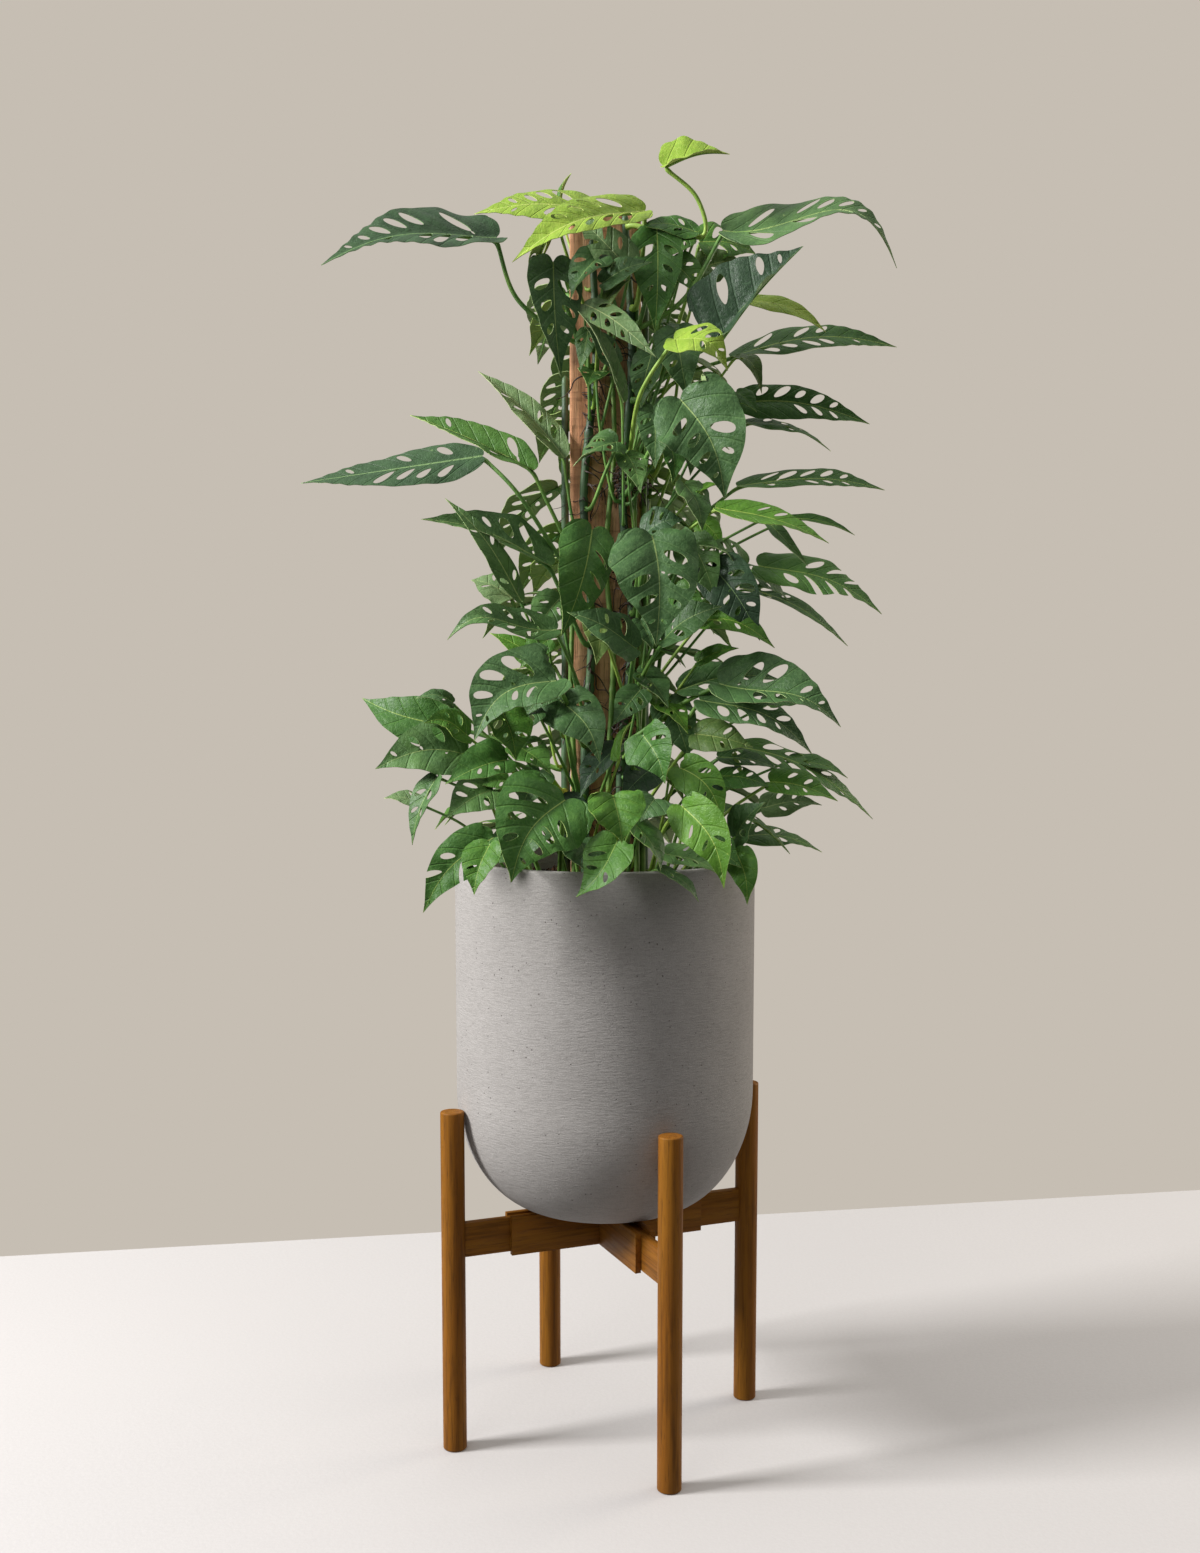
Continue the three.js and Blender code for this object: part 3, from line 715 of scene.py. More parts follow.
@dataclass
class Stand:
    """Four legs on sliding arms, and the cross of slats that the arms run between."""

    sides: tuple[str, ...] = ("right", "back", "left", "front")
    leg_sides: int = 56
    edge: float = 0.0009

    def leg(self, quarter: int) -> bpy.types.Object:
        """Turns one leg, a dowel with eased ends."""
        outer = LEG_RADIUS - LEG_EDGE
        foot = arc((outer, LEG_EDGE), LEG_EDGE, -90, 0, 4)
        head = arc((outer, LEG_HEIGHT - LEG_EDGE), LEG_EDGE, 0, 90, 4)
        rise = [(LEG_RADIUS, z) for z in np.linspace(LEG_EDGE, LEG_HEIGHT - LEG_EDGE, 12)[1:-1]]
        points, faces = lathe([(0, 0), *foot, *rise, *head, (0, LEG_HEIGHT)], self.leg_sides)
        turn = STAND_TURN + quarter * math.pi / 2
        points = points + np.array([LEG_DISTANCE * math.cos(turn), LEG_DISTANCE * math.sin(turn), 0])
        name = f"dowel_{self.sides[quarter]}"
        return mesh_object(name, points, faces, [WalnutFinish(Grain.UPRIGHT).make()])

    def slat(self, node: str, name: str, grain: Grain) -> bpy.types.Object:
        """Copies a flat piece of wood from the frame and eases its edges."""
        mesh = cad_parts[node].data.copy()
        bm = bmesh.new()
        bm.from_mesh(mesh)
        bmesh.ops.remove_doubles(bm, verts=bm.verts, dist=1e-5)
        bmesh.ops.dissolve_limit(bm, angle_limit=0.01, verts=bm.verts, edges=bm.edges)
        bm.to_mesh(mesh)
        bm.free()
        mesh.materials.clear()
        mesh.materials.append(WalnutFinish(grain).make())
        piece = add_object(name, mesh)
        bevel = piece.modifiers.new("eased_edges", "BEVEL")
        bevel.width, bevel.segments, bevel.limit_method = self.edge, 3, "ANGLE"
        bake_modifiers(piece)
        piece.data.polygons.foreach_set("use_smooth", np.ones(len(piece.data.polygons), bool))
        sharpen(piece.data, 35)
        return piece

    def build(self) -> None:
        """Builds the limbs and the cross."""
        for quarter, side in enumerate(self.sides):
            grain = Grain.LONG if quarter % 2 == 0 else Grain.CROSS
            settle(self.leg(quarter), f"limb_{side}", "walnut", f"leg_{side}")
            arm = self.slat(f"arm_{side}", f"sliding_arm_{side}", grain)
            settle(arm, f"limb_{side}", "walnut", f"arm_{side}")
            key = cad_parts[f"guide_key_{side}"].data.materials
            key.clear()
            key.append(WalnutFinish(grain).make())
        for node, grain in (
            ("rail_long_front", Grain.LONG), ("rail_long_back", Grain.LONG),
            ("rail_cross_right", Grain.CROSS), ("rail_cross_left", Grain.CROSS),
        ):
            settle(self.slat(node, f"slat_{node[5:]}", grain), POT_BODY, "walnut", node)


@dataclass
class Planter:
    """The cast pot: upright above, a quarter ellipse below, with a small flat base."""

    sides: int = 144
    bowl_steps: int = 22
    wall_rings: int = 18
    dent: float = 0.08

    def bowl(self, inset: float, floor: float) -> list[tuple[float, float]]:
        """Gives the round part of a wall from its flat base up, as radius and height."""
        radius, flat = POT_RADIUS - inset, BASE_RADIUS - inset / 2
        turns = [k / self.bowl_steps * math.pi / 2 for k in range(self.bowl_steps + 1)]
        rise = BOWL_HEIGHT - floor
        foot = POT_BASE + floor
        return [(flat + (radius - flat) * math.sin(t), foot + rise * (1 - math.cos(t))) for t in turns]

    def build(self) -> None:
        """Builds the pot."""
        inner = POT_RADIUS - POT_WALL
        low = POT_BASE + BOWL_HEIGHT
        rim = arc((POT_RADIUS - RIM_ROUND, RIM_TOP - RIM_ROUND), RIM_ROUND, 0, 90, 6)
        rim += arc((inner + RIM_ROUND, RIM_TOP - RIM_ROUND), RIM_ROUND, 90, 180, 6)
        walls = np.linspace(low, RIM_TOP - RIM_ROUND, self.wall_rings)[1:-1]
        profile = [(0, POT_BASE), (BASE_RADIUS / 2, POT_BASE), *self.bowl(0, 0)]
        profile += [*((POT_RADIUS, z) for z in walls), *rim, *((inner, z) for z in walls[::-1])]
        profile += [*self.bowl(POT_WALL, POT_FLOOR)[::-1], (0, POT_BASE + POT_FLOOR)]
        points, faces = lathe(profile, self.sides)
        # A cast wall is never quite true
        out = points * (1, 1, 0)
        out = out / np.maximum(np.linalg.norm(out, axis=1, keepdims=True), 1)
        points = points + out * np.minimum(waves(points, 90, 4), 0)[:, None] * self.dent
        pot = mesh_object("stoneware_planter", points, faces, [StonewareFinish().make()])
        settle(pot, POT_BODY, "stoneware", "planter")


@dataclass
class Soil:
    """The earth in the pot: a lumpy top with crumbs, bark chips and grit on it."""

    rings: int = 30
    sides: int = 96
    clearance: float = 0.5
    # How far below the top the wall ends, and where the rounded edge starts
    wall_drop: float = 6.0
    edge_drop: float = 4.0

    def build(self, planter: Planter, scatter: ScatterTree) -> None:
        """Builds the earth inside a planter, and what lies on it."""
        inset = POT_WALL + self.clearance
        edge = POT_RADIUS - inset
        body = [(0, POT_BASE + POT_FLOOR + GAP), *planter.bowl(inset, POT_FLOOR + GAP)]
        body += [(edge, SOIL_TOP - self.wall_drop), (edge, SOIL_TOP - self.edge_drop)]
        top = [(edge * k / self.rings, SOIL_TOP) for k in range(self.rings - 1, 0, -1)]
        points, faces = lathe([*body, *top, (0, SOIL_TOP)], self.sides)
        high = points[:, 2] > SOIL_TOP - (self.wall_drop + self.edge_drop) / 2
        lumps = waves(points, 45, 7) * 1.6 + waves(points, 14, 8) * 1.1 + waves(points, 6, 9) * 0.6
        points[high, 2] += lumps[high] - 1.0
        earth = EarthFinish("earth", "241812", "4B3627").make()
        ground = mesh_object("earth_fill", points, faces, [earth])
        surface = bmesh.new()
        surface.from_mesh(ground.data)
        least = (SOIL_TOP - self.edge_drop) * MM
        low = [f for f in surface.faces if f.calc_center_median().z < least or f.normal.z < 0.5]
        bmesh.ops.delete(surface, geom=low, context="FACES")
        sheet = bpy.data.meshes.new("ground_sheet")
        surface.to_mesh(sheet)
        surface.free()
        settle(ground, POT_BODY, "soil", "potting_soil")
        kinds = (
            ("soil_crumbs", 34000.0, 0.0018, 0.8, 11, EarthFinish("crumbs", "2A1C14", "57402E", 0.003)),
            ("bark_chips", 5200.0, 0.0046, 0.32, 23, EarthFinish("bark", "3B2417", "7A5436", 0.004)),
            ("pale_grit", 1500.0, 0.0017, 0.8, 31, EarthFinish("grit", "B9B3A8", "E4DFD6", 0.002)),
        )
        for name, density, size, flatness, seed, finish in kinds:
            values = {"Density": density, "Size": size, "Flatness": flatness, "Seed": seed}
            lumps = scatter.run(name, sheet.copy(), **values, Finish=finish.make())
            settle(lumps, POT_BODY, "soil")


@dataclass
class Stake:
    """The rough-sawn post that the vine climbs."""

    pitch: float = 3.5
    corner: float = 2.0
    saw_pitch: float = 4.3
    ring_points: int = 72
    crown_rings: tuple[float, ...] = (0.8, 0.55, 0.3)
    crown_rise: float = 0.35

    def ring(self) -> np.ndarray:
        """Gives the outline of the post with its worn corners, from its right side round."""
        half = np.array([STAKE_WIDTH / 2, STAKE_THICK / 2])
        outline = []
        for turn, (sx, sy) in enumerate(((1, -1), (1, 1), (-1, 1), (-1, -1))):
            centre = (half - self.corner) * (sx, sy)
            start = -90 + 90 * turn
            outline += arc(tuple(centre), self.corner, start, start + 90, 2)
        corners = np.array([*outline, outline[0]])
        length = np.r_[0, np.cumsum(np.linalg.norm(np.diff(corners, axis=0), axis=1))]
        wanted = np.linspace(0, length[-1], self.ring_points + 1)[:-1]
        return np.column_stack([np.interp(wanted, length, corners[:, axis]) for axis in range(2)])

    def build(self) -> None:
        """Builds the post."""
        ring = self.ring()
        out = unit(np.roll(ring, -1, axis=0) - np.roll(ring, 1, axis=0)) @ np.array([[0, -1], [1, 0]])
        levels = np.arange(STAKE_TOP - 0.6, SOIL_TOP - STAKE_BURIED, -self.pitch)[::-1]
        count, high = len(ring), len(levels)
        points = np.array([(x, y, z) for z in levels for x, y in ring])
        normal = np.tile(np.column_stack([out, np.zeros(count)]), (high, 1))
        tall = points * (1, 1, 0.08)
        saw = np.sin(points[:, 2] * 2 * math.pi / self.saw_pitch + 2.5 * waves(points, 60, 3))
        cuts = 0.16 * saw * (waves(points, 90, 6) > -0.2)
        depth = 0.5 + 0.35 * waves(tall, 7, 1) + 0.25 * waves(tall, 3, 2) + cuts
        points = points - normal * np.maximum(depth, 0)[:, None]
        rim = points[-count:]
        crown = [rim * (share, share, 1) + (0, 0, self.crown_rise) for share in self.crown_rings]
        top = np.vstack(crown)
        top[:, 2] += 0.5 * waves(top, 6, 12) - 0.3
        points = np.vstack([points, top, [(0, 0, STAKE_TOP - 0.4), (0, 0, levels[0])]])
        rows = high - 1 + len(self.crown_rings)
        faces, last = ring_faces(rows, count), rows * count
        for k in range(count):
            faces.append((last + k, last + (k + 1) % count, len(points) - 2))
            faces.append(((k + 1) % count, k, len(points) - 1))
        post = mesh_object("sawn_stake", points, faces, [TimberFinish().make()])
        sharpen(post.data, 55)
        settle(post, POT_BODY, "rough_timber", "stake")


# The stems that the frame has, from the soil to their tops, and thinner ones between them
STEM_ROUTES: dict[str, list[Triple]] = {
    "front_left": [
        (-20, FRONT, 700), (-13, FRONT, 830), (-21, FRONT, 960), (-9, FRONT, 1090), (-13, FRONT, 1205),
    ],
    "front_right": [
        (16, FRONT, 700), (27, FRONT, 830), (17, FRONT, 960), (26, FRONT, 1090), (19, FRONT, 1228),
    ],
    "left": [(LEFT, -6, 700), (LEFT, 8, 830), (LEFT, -4, 950), (LEFT, 6, 1080)],
    "right": [(RIGHT, 4, 700), (RIGHT, -9, 830), (RIGHT, 3, 960), (RIGHT, -8, 1080), (RIGHT, 2, 1170)],
    "back": [(-8, BACK, 700), (9, BACK, 830), (-6, BACK, 960), (8, BACK, 1080), (2, BACK, 1190)],
}
THIN_ROUTES: dict[str, list[Triple]] = {
    "thin_middle": [
        (4, FRONT, 700), (8, FRONT - 2, 800), (1, FRONT, 900), (9, FRONT - 2, 1010), (3, FRONT, 1130),
    ],
    "thin_right": [
        (32, FRONT + 1, 690), (36, FRONT, 800), (29, FRONT, 930), (33, FRONT - 1, 1060), (30, FRONT, 1150),
    ],
    "thin_corner": [(38, -18, 700), (40, -22, 840), (38, -17, 980), (39, -21, 1100)],
    "thin_left": [(-31, FRONT + 1, 690), (-34, FRONT, 780), (-30, FRONT, 880)],
    "thin_back": [(22, BACK, 700), (27, BACK, 860), (18, BACK, 1010)],
}
# Where matted roots cross the stems: how far right and how high their middle lies, half
# their width, half their height, and how many there are
TANGLES = (
    (22, 975, 15, 14, 22), (-12, 1010, 10, 50, 16), (20, 728, 13, 16, 16),
    (6, 1100, 16, 40, 14), (24, 860, 13, 40, 12), (20, 640, 14, 30, 12),
)


@dataclass
class Vine:
    """The stems, swollen at their joints, and the wiry roots that hold them to the stake."""

    spacing: float = 2.5
    joint_step: float = 64.0
    joint_length: float = 3.2
    swelling: float = 0.26
    thin_radius: float = 2.9
    root_count: int = 84
    stem_seed: int = 41
    root_seed: int = 17

    def climb(self, route: list[Triple]) -> np.ndarray:
        """Runs a stem from its foot in the soil through its route."""
        x, y, _ = route[0]
        foot = [(x, y, SOIL_TOP - STEM_BURIED), (x, y, SOIL_TOP + STEM_BURIED)]
        return smooth_curve([*foot, *route], self.spacing)

    def thickness(self, line: np.ndarray, radius: float, rng: np.random.Generator) -> np.ndarray:
        """Gives a stem's radius at each point: swollen at each leaf scar, thinner at the top."""
        length = np.arange(len(line)) * self.spacing
        joints = np.arange(18, length[-1], self.joint_step)
        joints = joints + rng.uniform(-12, 12, len(joints))
        swell = np.exp(-((length[:, None] - joints) / self.joint_length) ** 2).sum(axis=1)
        neck = np.exp(-((length[:, None] - joints - 5) / 1.2) ** 2).sum(axis=1)
        taper = 1 - 0.28 * (length / length[-1]) ** 2
        thick = radius * taper * (1 + self.swelling * swell - 0.1 * neck) * (1 + 0.04 * waves(line, 25, 5))
        end = np.clip((length[-1] - length) / 4, 0, 1) ** 0.5
        return np.maximum(thick * end, 0.3)

    def build(self, bars: BarTree) -> dict[str, np.ndarray]:
        """Builds the stems and the roots.

        Args:
            bars: The tree that lays bars.

        Returns:
            The line of each stem that the frame has.
        """
        rng = np.random.default_rng(self.stem_seed)
        skin = BarkFinish("stem_skin", "4E6E46", "2B4430", "4E3F2B", 0.85).make()
        fresh = BarkFinish("stem_fresh", "7F9F48", "547A3A", "5E5034", 0.6).make()
        lines = {name: self.climb(route) for name, route in STEM_ROUTES.items()}
        for name, line in lines.items():
            thick = self.thickness(line, STEM_RADIUS, rng)
            stem = bars.lay(f"climbing_{name}", [(line, thick)], 18, skin)
            settle(stem, POT_BODY, "stem", f"stem_{name}")
        for name, route in THIN_ROUTES.items():
            line = self.climb(route)
            thick = self.thickness(line, self.thin_radius, rng)
            settle(bars.lay(f"climbing_{name}", [(line, thick)], 14, fresh), POT_BODY, "stem")
        self.roots(bars, lines)
        return lines

    def roots(self, bars: BarTree, lines: dict[str, np.ndarray]) -> None:
        """Builds wiry roots that creep from the stems over the stake, in tangles here and there."""
        rng = np.random.default_rng(self.root_seed)
        faces = {"front_left": (0, -1), "front_right": (0, -1)}
        faces |= {"left": (-1, 0), "right": (1, 0), "back": (0, 1)}
        names = list(faces)
        wires = []
        for number in range(self.root_count):
            name = names[number % len(names)] if number % 3 == 0 else names[number % 2]
            line = lines[name]
            start = line[int(rng.uniform(0.12, 0.93) * (len(line) - 1))]
            out = np.array([*faces[name], 0.0])
            beside = np.array([-out[1], out[0], 0]) * rng.choice([-1, 1])
            face_gap = rng.uniform(1.0, 5.0) - STEM_RADIUS
            route = [tuple(start), tuple(start + out * (STEM_RADIUS + 2.5) + (0, 0, -3))]
            drop, across = rng.uniform(2, 13), rng.uniform(4, 12)
            for step in range(1, int(rng.integers(3, 8))):
                wander = rng.normal(0, 2.2, 3)
                at = start + beside * across * step * 0.8 + out * (face_gap + rng.uniform(0, 5)) + wander
                route.append(tuple(at - (0, 0, 3 + drop * step)))
            wire = smooth_curve(route, 2.0)
            radius = rng.uniform(0.55, 1.15)
            wires.append((wire, radius * np.linspace(1, 0.35, len(wire))))
        for spot in TANGLES:
            wires += self.tangle(*spot)
        root = BarkFinish("aerial_root", "3E2B20", "22160F", "5E432F", 0.5).make()
        settle(bars.lay("aerial_roots", wires, 6, root), POT_BODY, "aerial_root")

    def tangle(self, middle: float, height: float, wide: float, high: float, count: int) -> list:
        """Lays short matted roots over the stems, level for the most part.

        Args:
            middle: How far right its middle lies.
            height: The height of its middle.
            wide: Half its width.
            high: Half its height.
            count: How many roots it has.

        Returns:
            For each root its points and its radius at each.
        """
        rng = np.random.default_rng(int(height))
        found = []
        for _ in range(count):
            x, z = middle + rng.uniform(-0.3, 0.3) * wide, height + rng.uniform(-1, 1) * high
            way = rng.choice([-1, 1])
            skin = -STAKE_THICK / 2 + 0.2
            over = FRONT - STEM_RADIUS - rng.uniform(0.5, 3)
            route = [
                (x - way * wide, skin, z + rng.uniform(-4, 8)),
                (x - way * 0.5 * wide, over, z + rng.uniform(-4, 6)),
                (x + way * 0.3 * wide, over - rng.uniform(0, 4), z + rng.uniform(-5, 3)),
                (x + way * 0.8 * wide, over + 3, z - rng.uniform(0, 12)),
                (x + way * wide, skin, z - rng.uniform(6, 24)),
            ]
            line = smooth_curve(route, 2.0)
            found.append((line, rng.uniform(0.45, 0.95) * np.linspace(1, 0.4, len(line))))
        return found


@dataclass(frozen=True)
class OnStem:
    """A place on a stem, at a height."""

    stem: str
    height: float


@dataclass(frozen=True)
class InSoil:
    """A place on the soil."""

    x: float
    y: float


@dataclass(frozen=True)
class Leaf:
    """One leaf: where its blade starts and ends, how it is turned, and what it grows from.

    Places are picture points across and down with a depth behind the pot's axis in
    millimetres, or millimetres alone where plain is true. Angles are degrees; arch and
    bend are the midrib's rise and sideways bow, as shares of the blade's length.
    """

    name: str
    base: Triple
    tip: Triple
    width: float
    roll: float
    tone: Tone
    root: OnStem | InSoil
    by: tuple[Triple, ...] = ()
    arch: float = 0.1
    bend: float = 0.0
    crest: float = 1.0
    twist: float = 0.0
    fold: float = 24.0
    lip: float = 6.0
    gaps: float = 1.0
    slits: float = 0.0
    node: bool = False
    plain: bool = False


@dataclass
class Eye:
    """The viewpoint that the plant was measured from, which is also the camera's."""

    place: Triple = (-5.0, -1740.0, 785.0)
    pitch: float = math.radians(5.87)
    reach: float = 1715.0
    centre: tuple[float, float] = (600.0, 850.0)
    picture: tuple[int, int] = (1200, 1553)

    def seen(self, point: Triple) -> np.ndarray:
        """Gives the place that is seen at a picture point, at a depth behind the pot's axis."""
        across, down, depth = point
        forward = np.array([0, math.cos(self.pitch), -math.sin(self.pitch)])
        up = np.array([0, math.sin(self.pitch), math.cos(self.pitch)])
        right = np.array([across - self.centre[0], 0, 0])
        ray = forward * self.reach + right + up * (self.centre[1] - down)
        return np.array(self.place) + ray * (depth - self.place[1]) / ray[1]


# Half a blade's outline as shares of its length and of its widest half: a heart-shaped
# one, and a long one. The foot's lobes reach back past the petiole.
HEART_SIDE = (
    (0, 0), (-0.045, 0.14), (-0.06, 0.38), (-0.01, 0.72), (0.1, 0.94), (0.24, 1), (0.4, 0.93),
    (0.56, 0.74), (0.7, 0.49), (0.82, 0.25), (0.92, 0.09), (1, 0),
)
LONG_SIDE = (
    (0, 0), (-0.012, 0.1), (-0.008, 0.3), (0.05, 0.62), (0.16, 0.89), (0.3, 1), (0.45, 0.95),
    (0.6, 0.77), (0.74, 0.51), (0.86, 0.25), (0.94, 0.08), (1, 0),
)


def inside(points: np.ndarray, loop: np.ndarray) -> np.ndarray:
    """Says which flat points lie inside a closed outline.

    Args:
        points: The points, one a row.
        loop: The outline's corners.

    Returns:
        A truth value for each point.
    """
    x, y = points[:, :1], points[:, 1:]
    x0, y0 = loop[:, 0], loop[:, 1]
    x1, y1 = np.roll(x0, -1), np.roll(y0, -1)
    crosses = (y0 > y) != (y1 > y)
    with np.errstate(divide="ignore", invalid="ignore"):
        cut = x0 + (y - y0) / (y1 - y0) * (x1 - x0)
    return (crosses & (x < cut)).sum(axis=1) % 2 == 1


class Blade:
    """The shape of one leaf's blade, pierced between its veins, bent and given a thickness."""

    thickness = 0.6
    grid = 5.0
    vein_gap = 25.0
    # What a hole's ends, as shares of the way to the margin, and its width, as a share of
    # the room between two veins, are drawn from, and how many of the gaps have one
    hole_start, hole_end, hole_width, hole_chance = (0.14, 0.34), (0.7, 0.9), (0.24, 0.42), 0.8
    slit_end, slit_width = 1.25, (0.14, 0.2)
    pinhole_chance, pinhole_place, pinhole_least = 0.18, 0.12, 20.0

    def __init__(self, leaf: Leaf, base: np.ndarray, tip: np.ndarray, seed: int) -> None:
        """Works out the blade's directions, which are those of its solid in the frame.

        Args:
            leaf: What the leaf is like.
            base: Where the blade meets its petiole.
            tip: Where it ends.
            seed: Which of the vine's small accidents it has.
        """
        self.leaf, self.base, self.run = leaf, base, tip - base
        self.length = float(np.linalg.norm(self.run))
        self.half = leaf.width / 2
        self.rng = np.random.default_rng(seed)
        along = self.run / self.length
        up = unit(np.array([0, 0, 1.0]) - along * along[2])
        side = np.cross(up, along)
        side = -side if side[1] > 0 else side
        turn = math.radians(leaf.roll)
        self.face = up * math.cos(turn) + side * math.sin(turn)
        self.across = np.cross(along, self.face)
        self.slant = float(np.clip(1.95 - 1.9 * leaf.width / self.length, 0.65, 1.4))
        self.lean = math.hypot(1, self.slant)
        self.veins = float(np.clip(round(self.length / self.vein_gap), 3, 7))
        self.pitch = (VEIN_END - VEIN_START) / self.veins
        self.swell = self.rng.uniform(0, 2 * math.pi, 4)
        self.crest = leaf.crest * self.rng.uniform(0.88, 1.2)
        self.hook = leaf.bend + self.rng.normal(0, 0.018)
        self.uneven = self.rng.uniform(-0.08, 0.08)
        self.ruffle = self.rng.uniform(0.015, 0.05)
        self.twist = leaf.twist + self.rng.normal(0, 10)
        self.fold = leaf.fold + self.rng.uniform(-8, 8)
        self.lip = leaf.lip + self.rng.uniform(-8, 14)

    def spine(self, share: np.ndarray) -> np.ndarray:
        """Gives points of the midrib at shares of its length."""
        bow = self.length * np.sin(math.pi * np.clip(share, 0, 1) ** self.crest)
        line = self.base + np.outer(share, self.run) + np.outer(bow * self.leaf.arch, self.face)
        return line + np.outer(bow * self.hook, self.across)

    def side(self, sign: int) -> np.ndarray:
        """Gives one side of the flat outline from foot to tip, in millimetres."""
        slim = float(np.clip((self.leaf.width / self.length - 0.3) / 0.25, 0, 1))
        table = np.array(HEART_SIDE) * slim + np.array(LONG_SIDE) * (1 - slim)
        table[1:-1, 1] *= 1 + self.rng.normal(0, 0.03, len(table) - 2)
        half = self.half * (1 + sign * self.uneven)
        route = [(x * self.length, y * half, 0.0) for x, y in table]
        line = smooth_curve(route, 3.0)[:, :2]
        line[:, 1] *= sign * (1 + 0.012 * np.sin(line[:, 0] / self.length * 2 * math.pi / self.pitch))
        return line

    def gaps(self, sides: dict[int, np.ndarray]) -> list[np.ndarray]:
        """Gives the outlines of the holes between the lateral veins.

        Args:
            sides: The two sides of the flat outline.

        Returns:
            Closed outlines in millimetres.
        """
        found = []
        for sign, line in sides.items():
            order = np.argsort(line[:, 0])
            reach_x, reach_y = line[order, 0], np.abs(line[order, 1])
            for gap in range(int(self.veins)):
                foot = (VEIN_START + (gap + 0.5) * self.pitch) * self.length
                steps = np.linspace(0.02, 1, 80) * self.half
                past = steps > np.interp(foot + self.slant * steps, reach_x, reach_y, right=0)
                margin = steps[past.argmax()] if past.any() else self.half
                start, end = self.rng.uniform(*self.hole_start), self.rng.uniform(*self.hole_end)
                wide = self.rng.uniform(*self.hole_width) * min(1, self.leaf.gaps)
                kept = self.rng.random() < self.hole_chance * self.leaf.gaps
                if self.rng.random() < self.leaf.slits and 0 < gap < self.veins - 1:
                    end, wide, kept = self.slit_end, self.rng.uniform(*self.slit_width), True
                middle, half = (start + end) / 2 * margin, (end - start) / 2 * margin
                width = min(wide * self.pitch * self.length / self.lean, 0.42 * half * self.lean)
                if kept and half > 2.4 and width > 1.2:
                    found.append(self.oval(foot, sign, middle, half, width))
                pinned = self.rng.random() < self.pinhole_chance * self.leaf.gaps
                if pinned and margin > self.pinhole_least:
                    found.append(self.oval(foot, sign, self.pinhole_place * margin, 1.8, 1.1))
        return found

    def oval(self, foot: float, sign: int, middle: float, half: float, width: float) -> np.ndarray:
        """Draws an egg-shaped hole on the line that runs forward and out from a foot."""
        ahead = np.array([self.slant, sign]) / self.lean
        beside = np.array([1.0, -sign * self.slant]) / self.lean
        centre = np.array([foot + self.slant * middle, sign * middle])
        count = int(np.clip(half * self.lean * 1.8, 9, 24))
        turn = np.arange(count)[:, None] * 2 * math.pi / count
        wide = width * (1 + 0.22 * np.cos(turn)) * (1 + 0.06 * np.sin(2 * turn + self.swell[1]))
        return centre + ahead * half * self.lean * np.cos(turn) + beside * wide * np.sin(turn)

    def flat(self) -> tuple[np.ndarray, np.ndarray]:
        """Divides the pierced flat blade into triangles.

        Returns:
            Corners in millimetres and corner numbers of each triangle.
        """
        sides = {1: self.side(1), -1: self.side(-1)}
        outline = np.vstack([sides[1], sides[-1][-2:0:-1]])
        holes = self.gaps(sides)
        step = self.grid if self.length > 70 else self.grid * self.length / 70
        xs = np.arange(-0.06 * self.length, self.length, step)
        ys = np.arange(-self.half, self.half + step, step * 0.866)
        inner = np.array([(x + step / 2 * (row % 2), y) for row, y in enumerate(ys) for x in xs])
        inner += self.rng.uniform(-0.12, 0.12, inner.shape) * step
        edges_at = np.vstack([outline, *holes])
        clear = np.min(np.linalg.norm(inner[:, None] - edges_at[None], axis=2), axis=1) > 0.45 * step
        inner = inner[clear & inside(inner, outline) & (np.abs(inner[:, 1]) > 0.5 * step)]
        for hole in holes:
            inner = inner[~inside(inner, hole)]
        rib = np.array([(x, 0.0) for x in np.arange(step, self.length - 2, step)])
        points, edges = [], []
        for loop in (outline, *holes):
            first = len(points)
            points += loop.tolist()
            edges += [(first + k, first + (k + 1) % len(loop)) for k in range(len(loop))]
        chain = [0, *range(len(points), len(points) + len(rib)), len(sides[1]) - 1]
        edges += list(zip(chain, chain[1:]))
        points += rib.tolist() + inner.tolist()
        corners, _, faces, *_ = delaunay_2d_cdt([Vector(p) for p in points], edges, [], 0, 1e-4)
        flat = np.array([tuple(c) for c in corners])
        faces = np.array(faces)
        centres = flat[faces].mean(axis=1)
        keep = inside(centres, outline)
        for hole in holes:
            keep &= ~inside(centres, hole)
        faces = faces[keep]
        used, faces = np.unique(faces, return_inverse=True)
        return flat[used], faces.reshape(-1, 3)

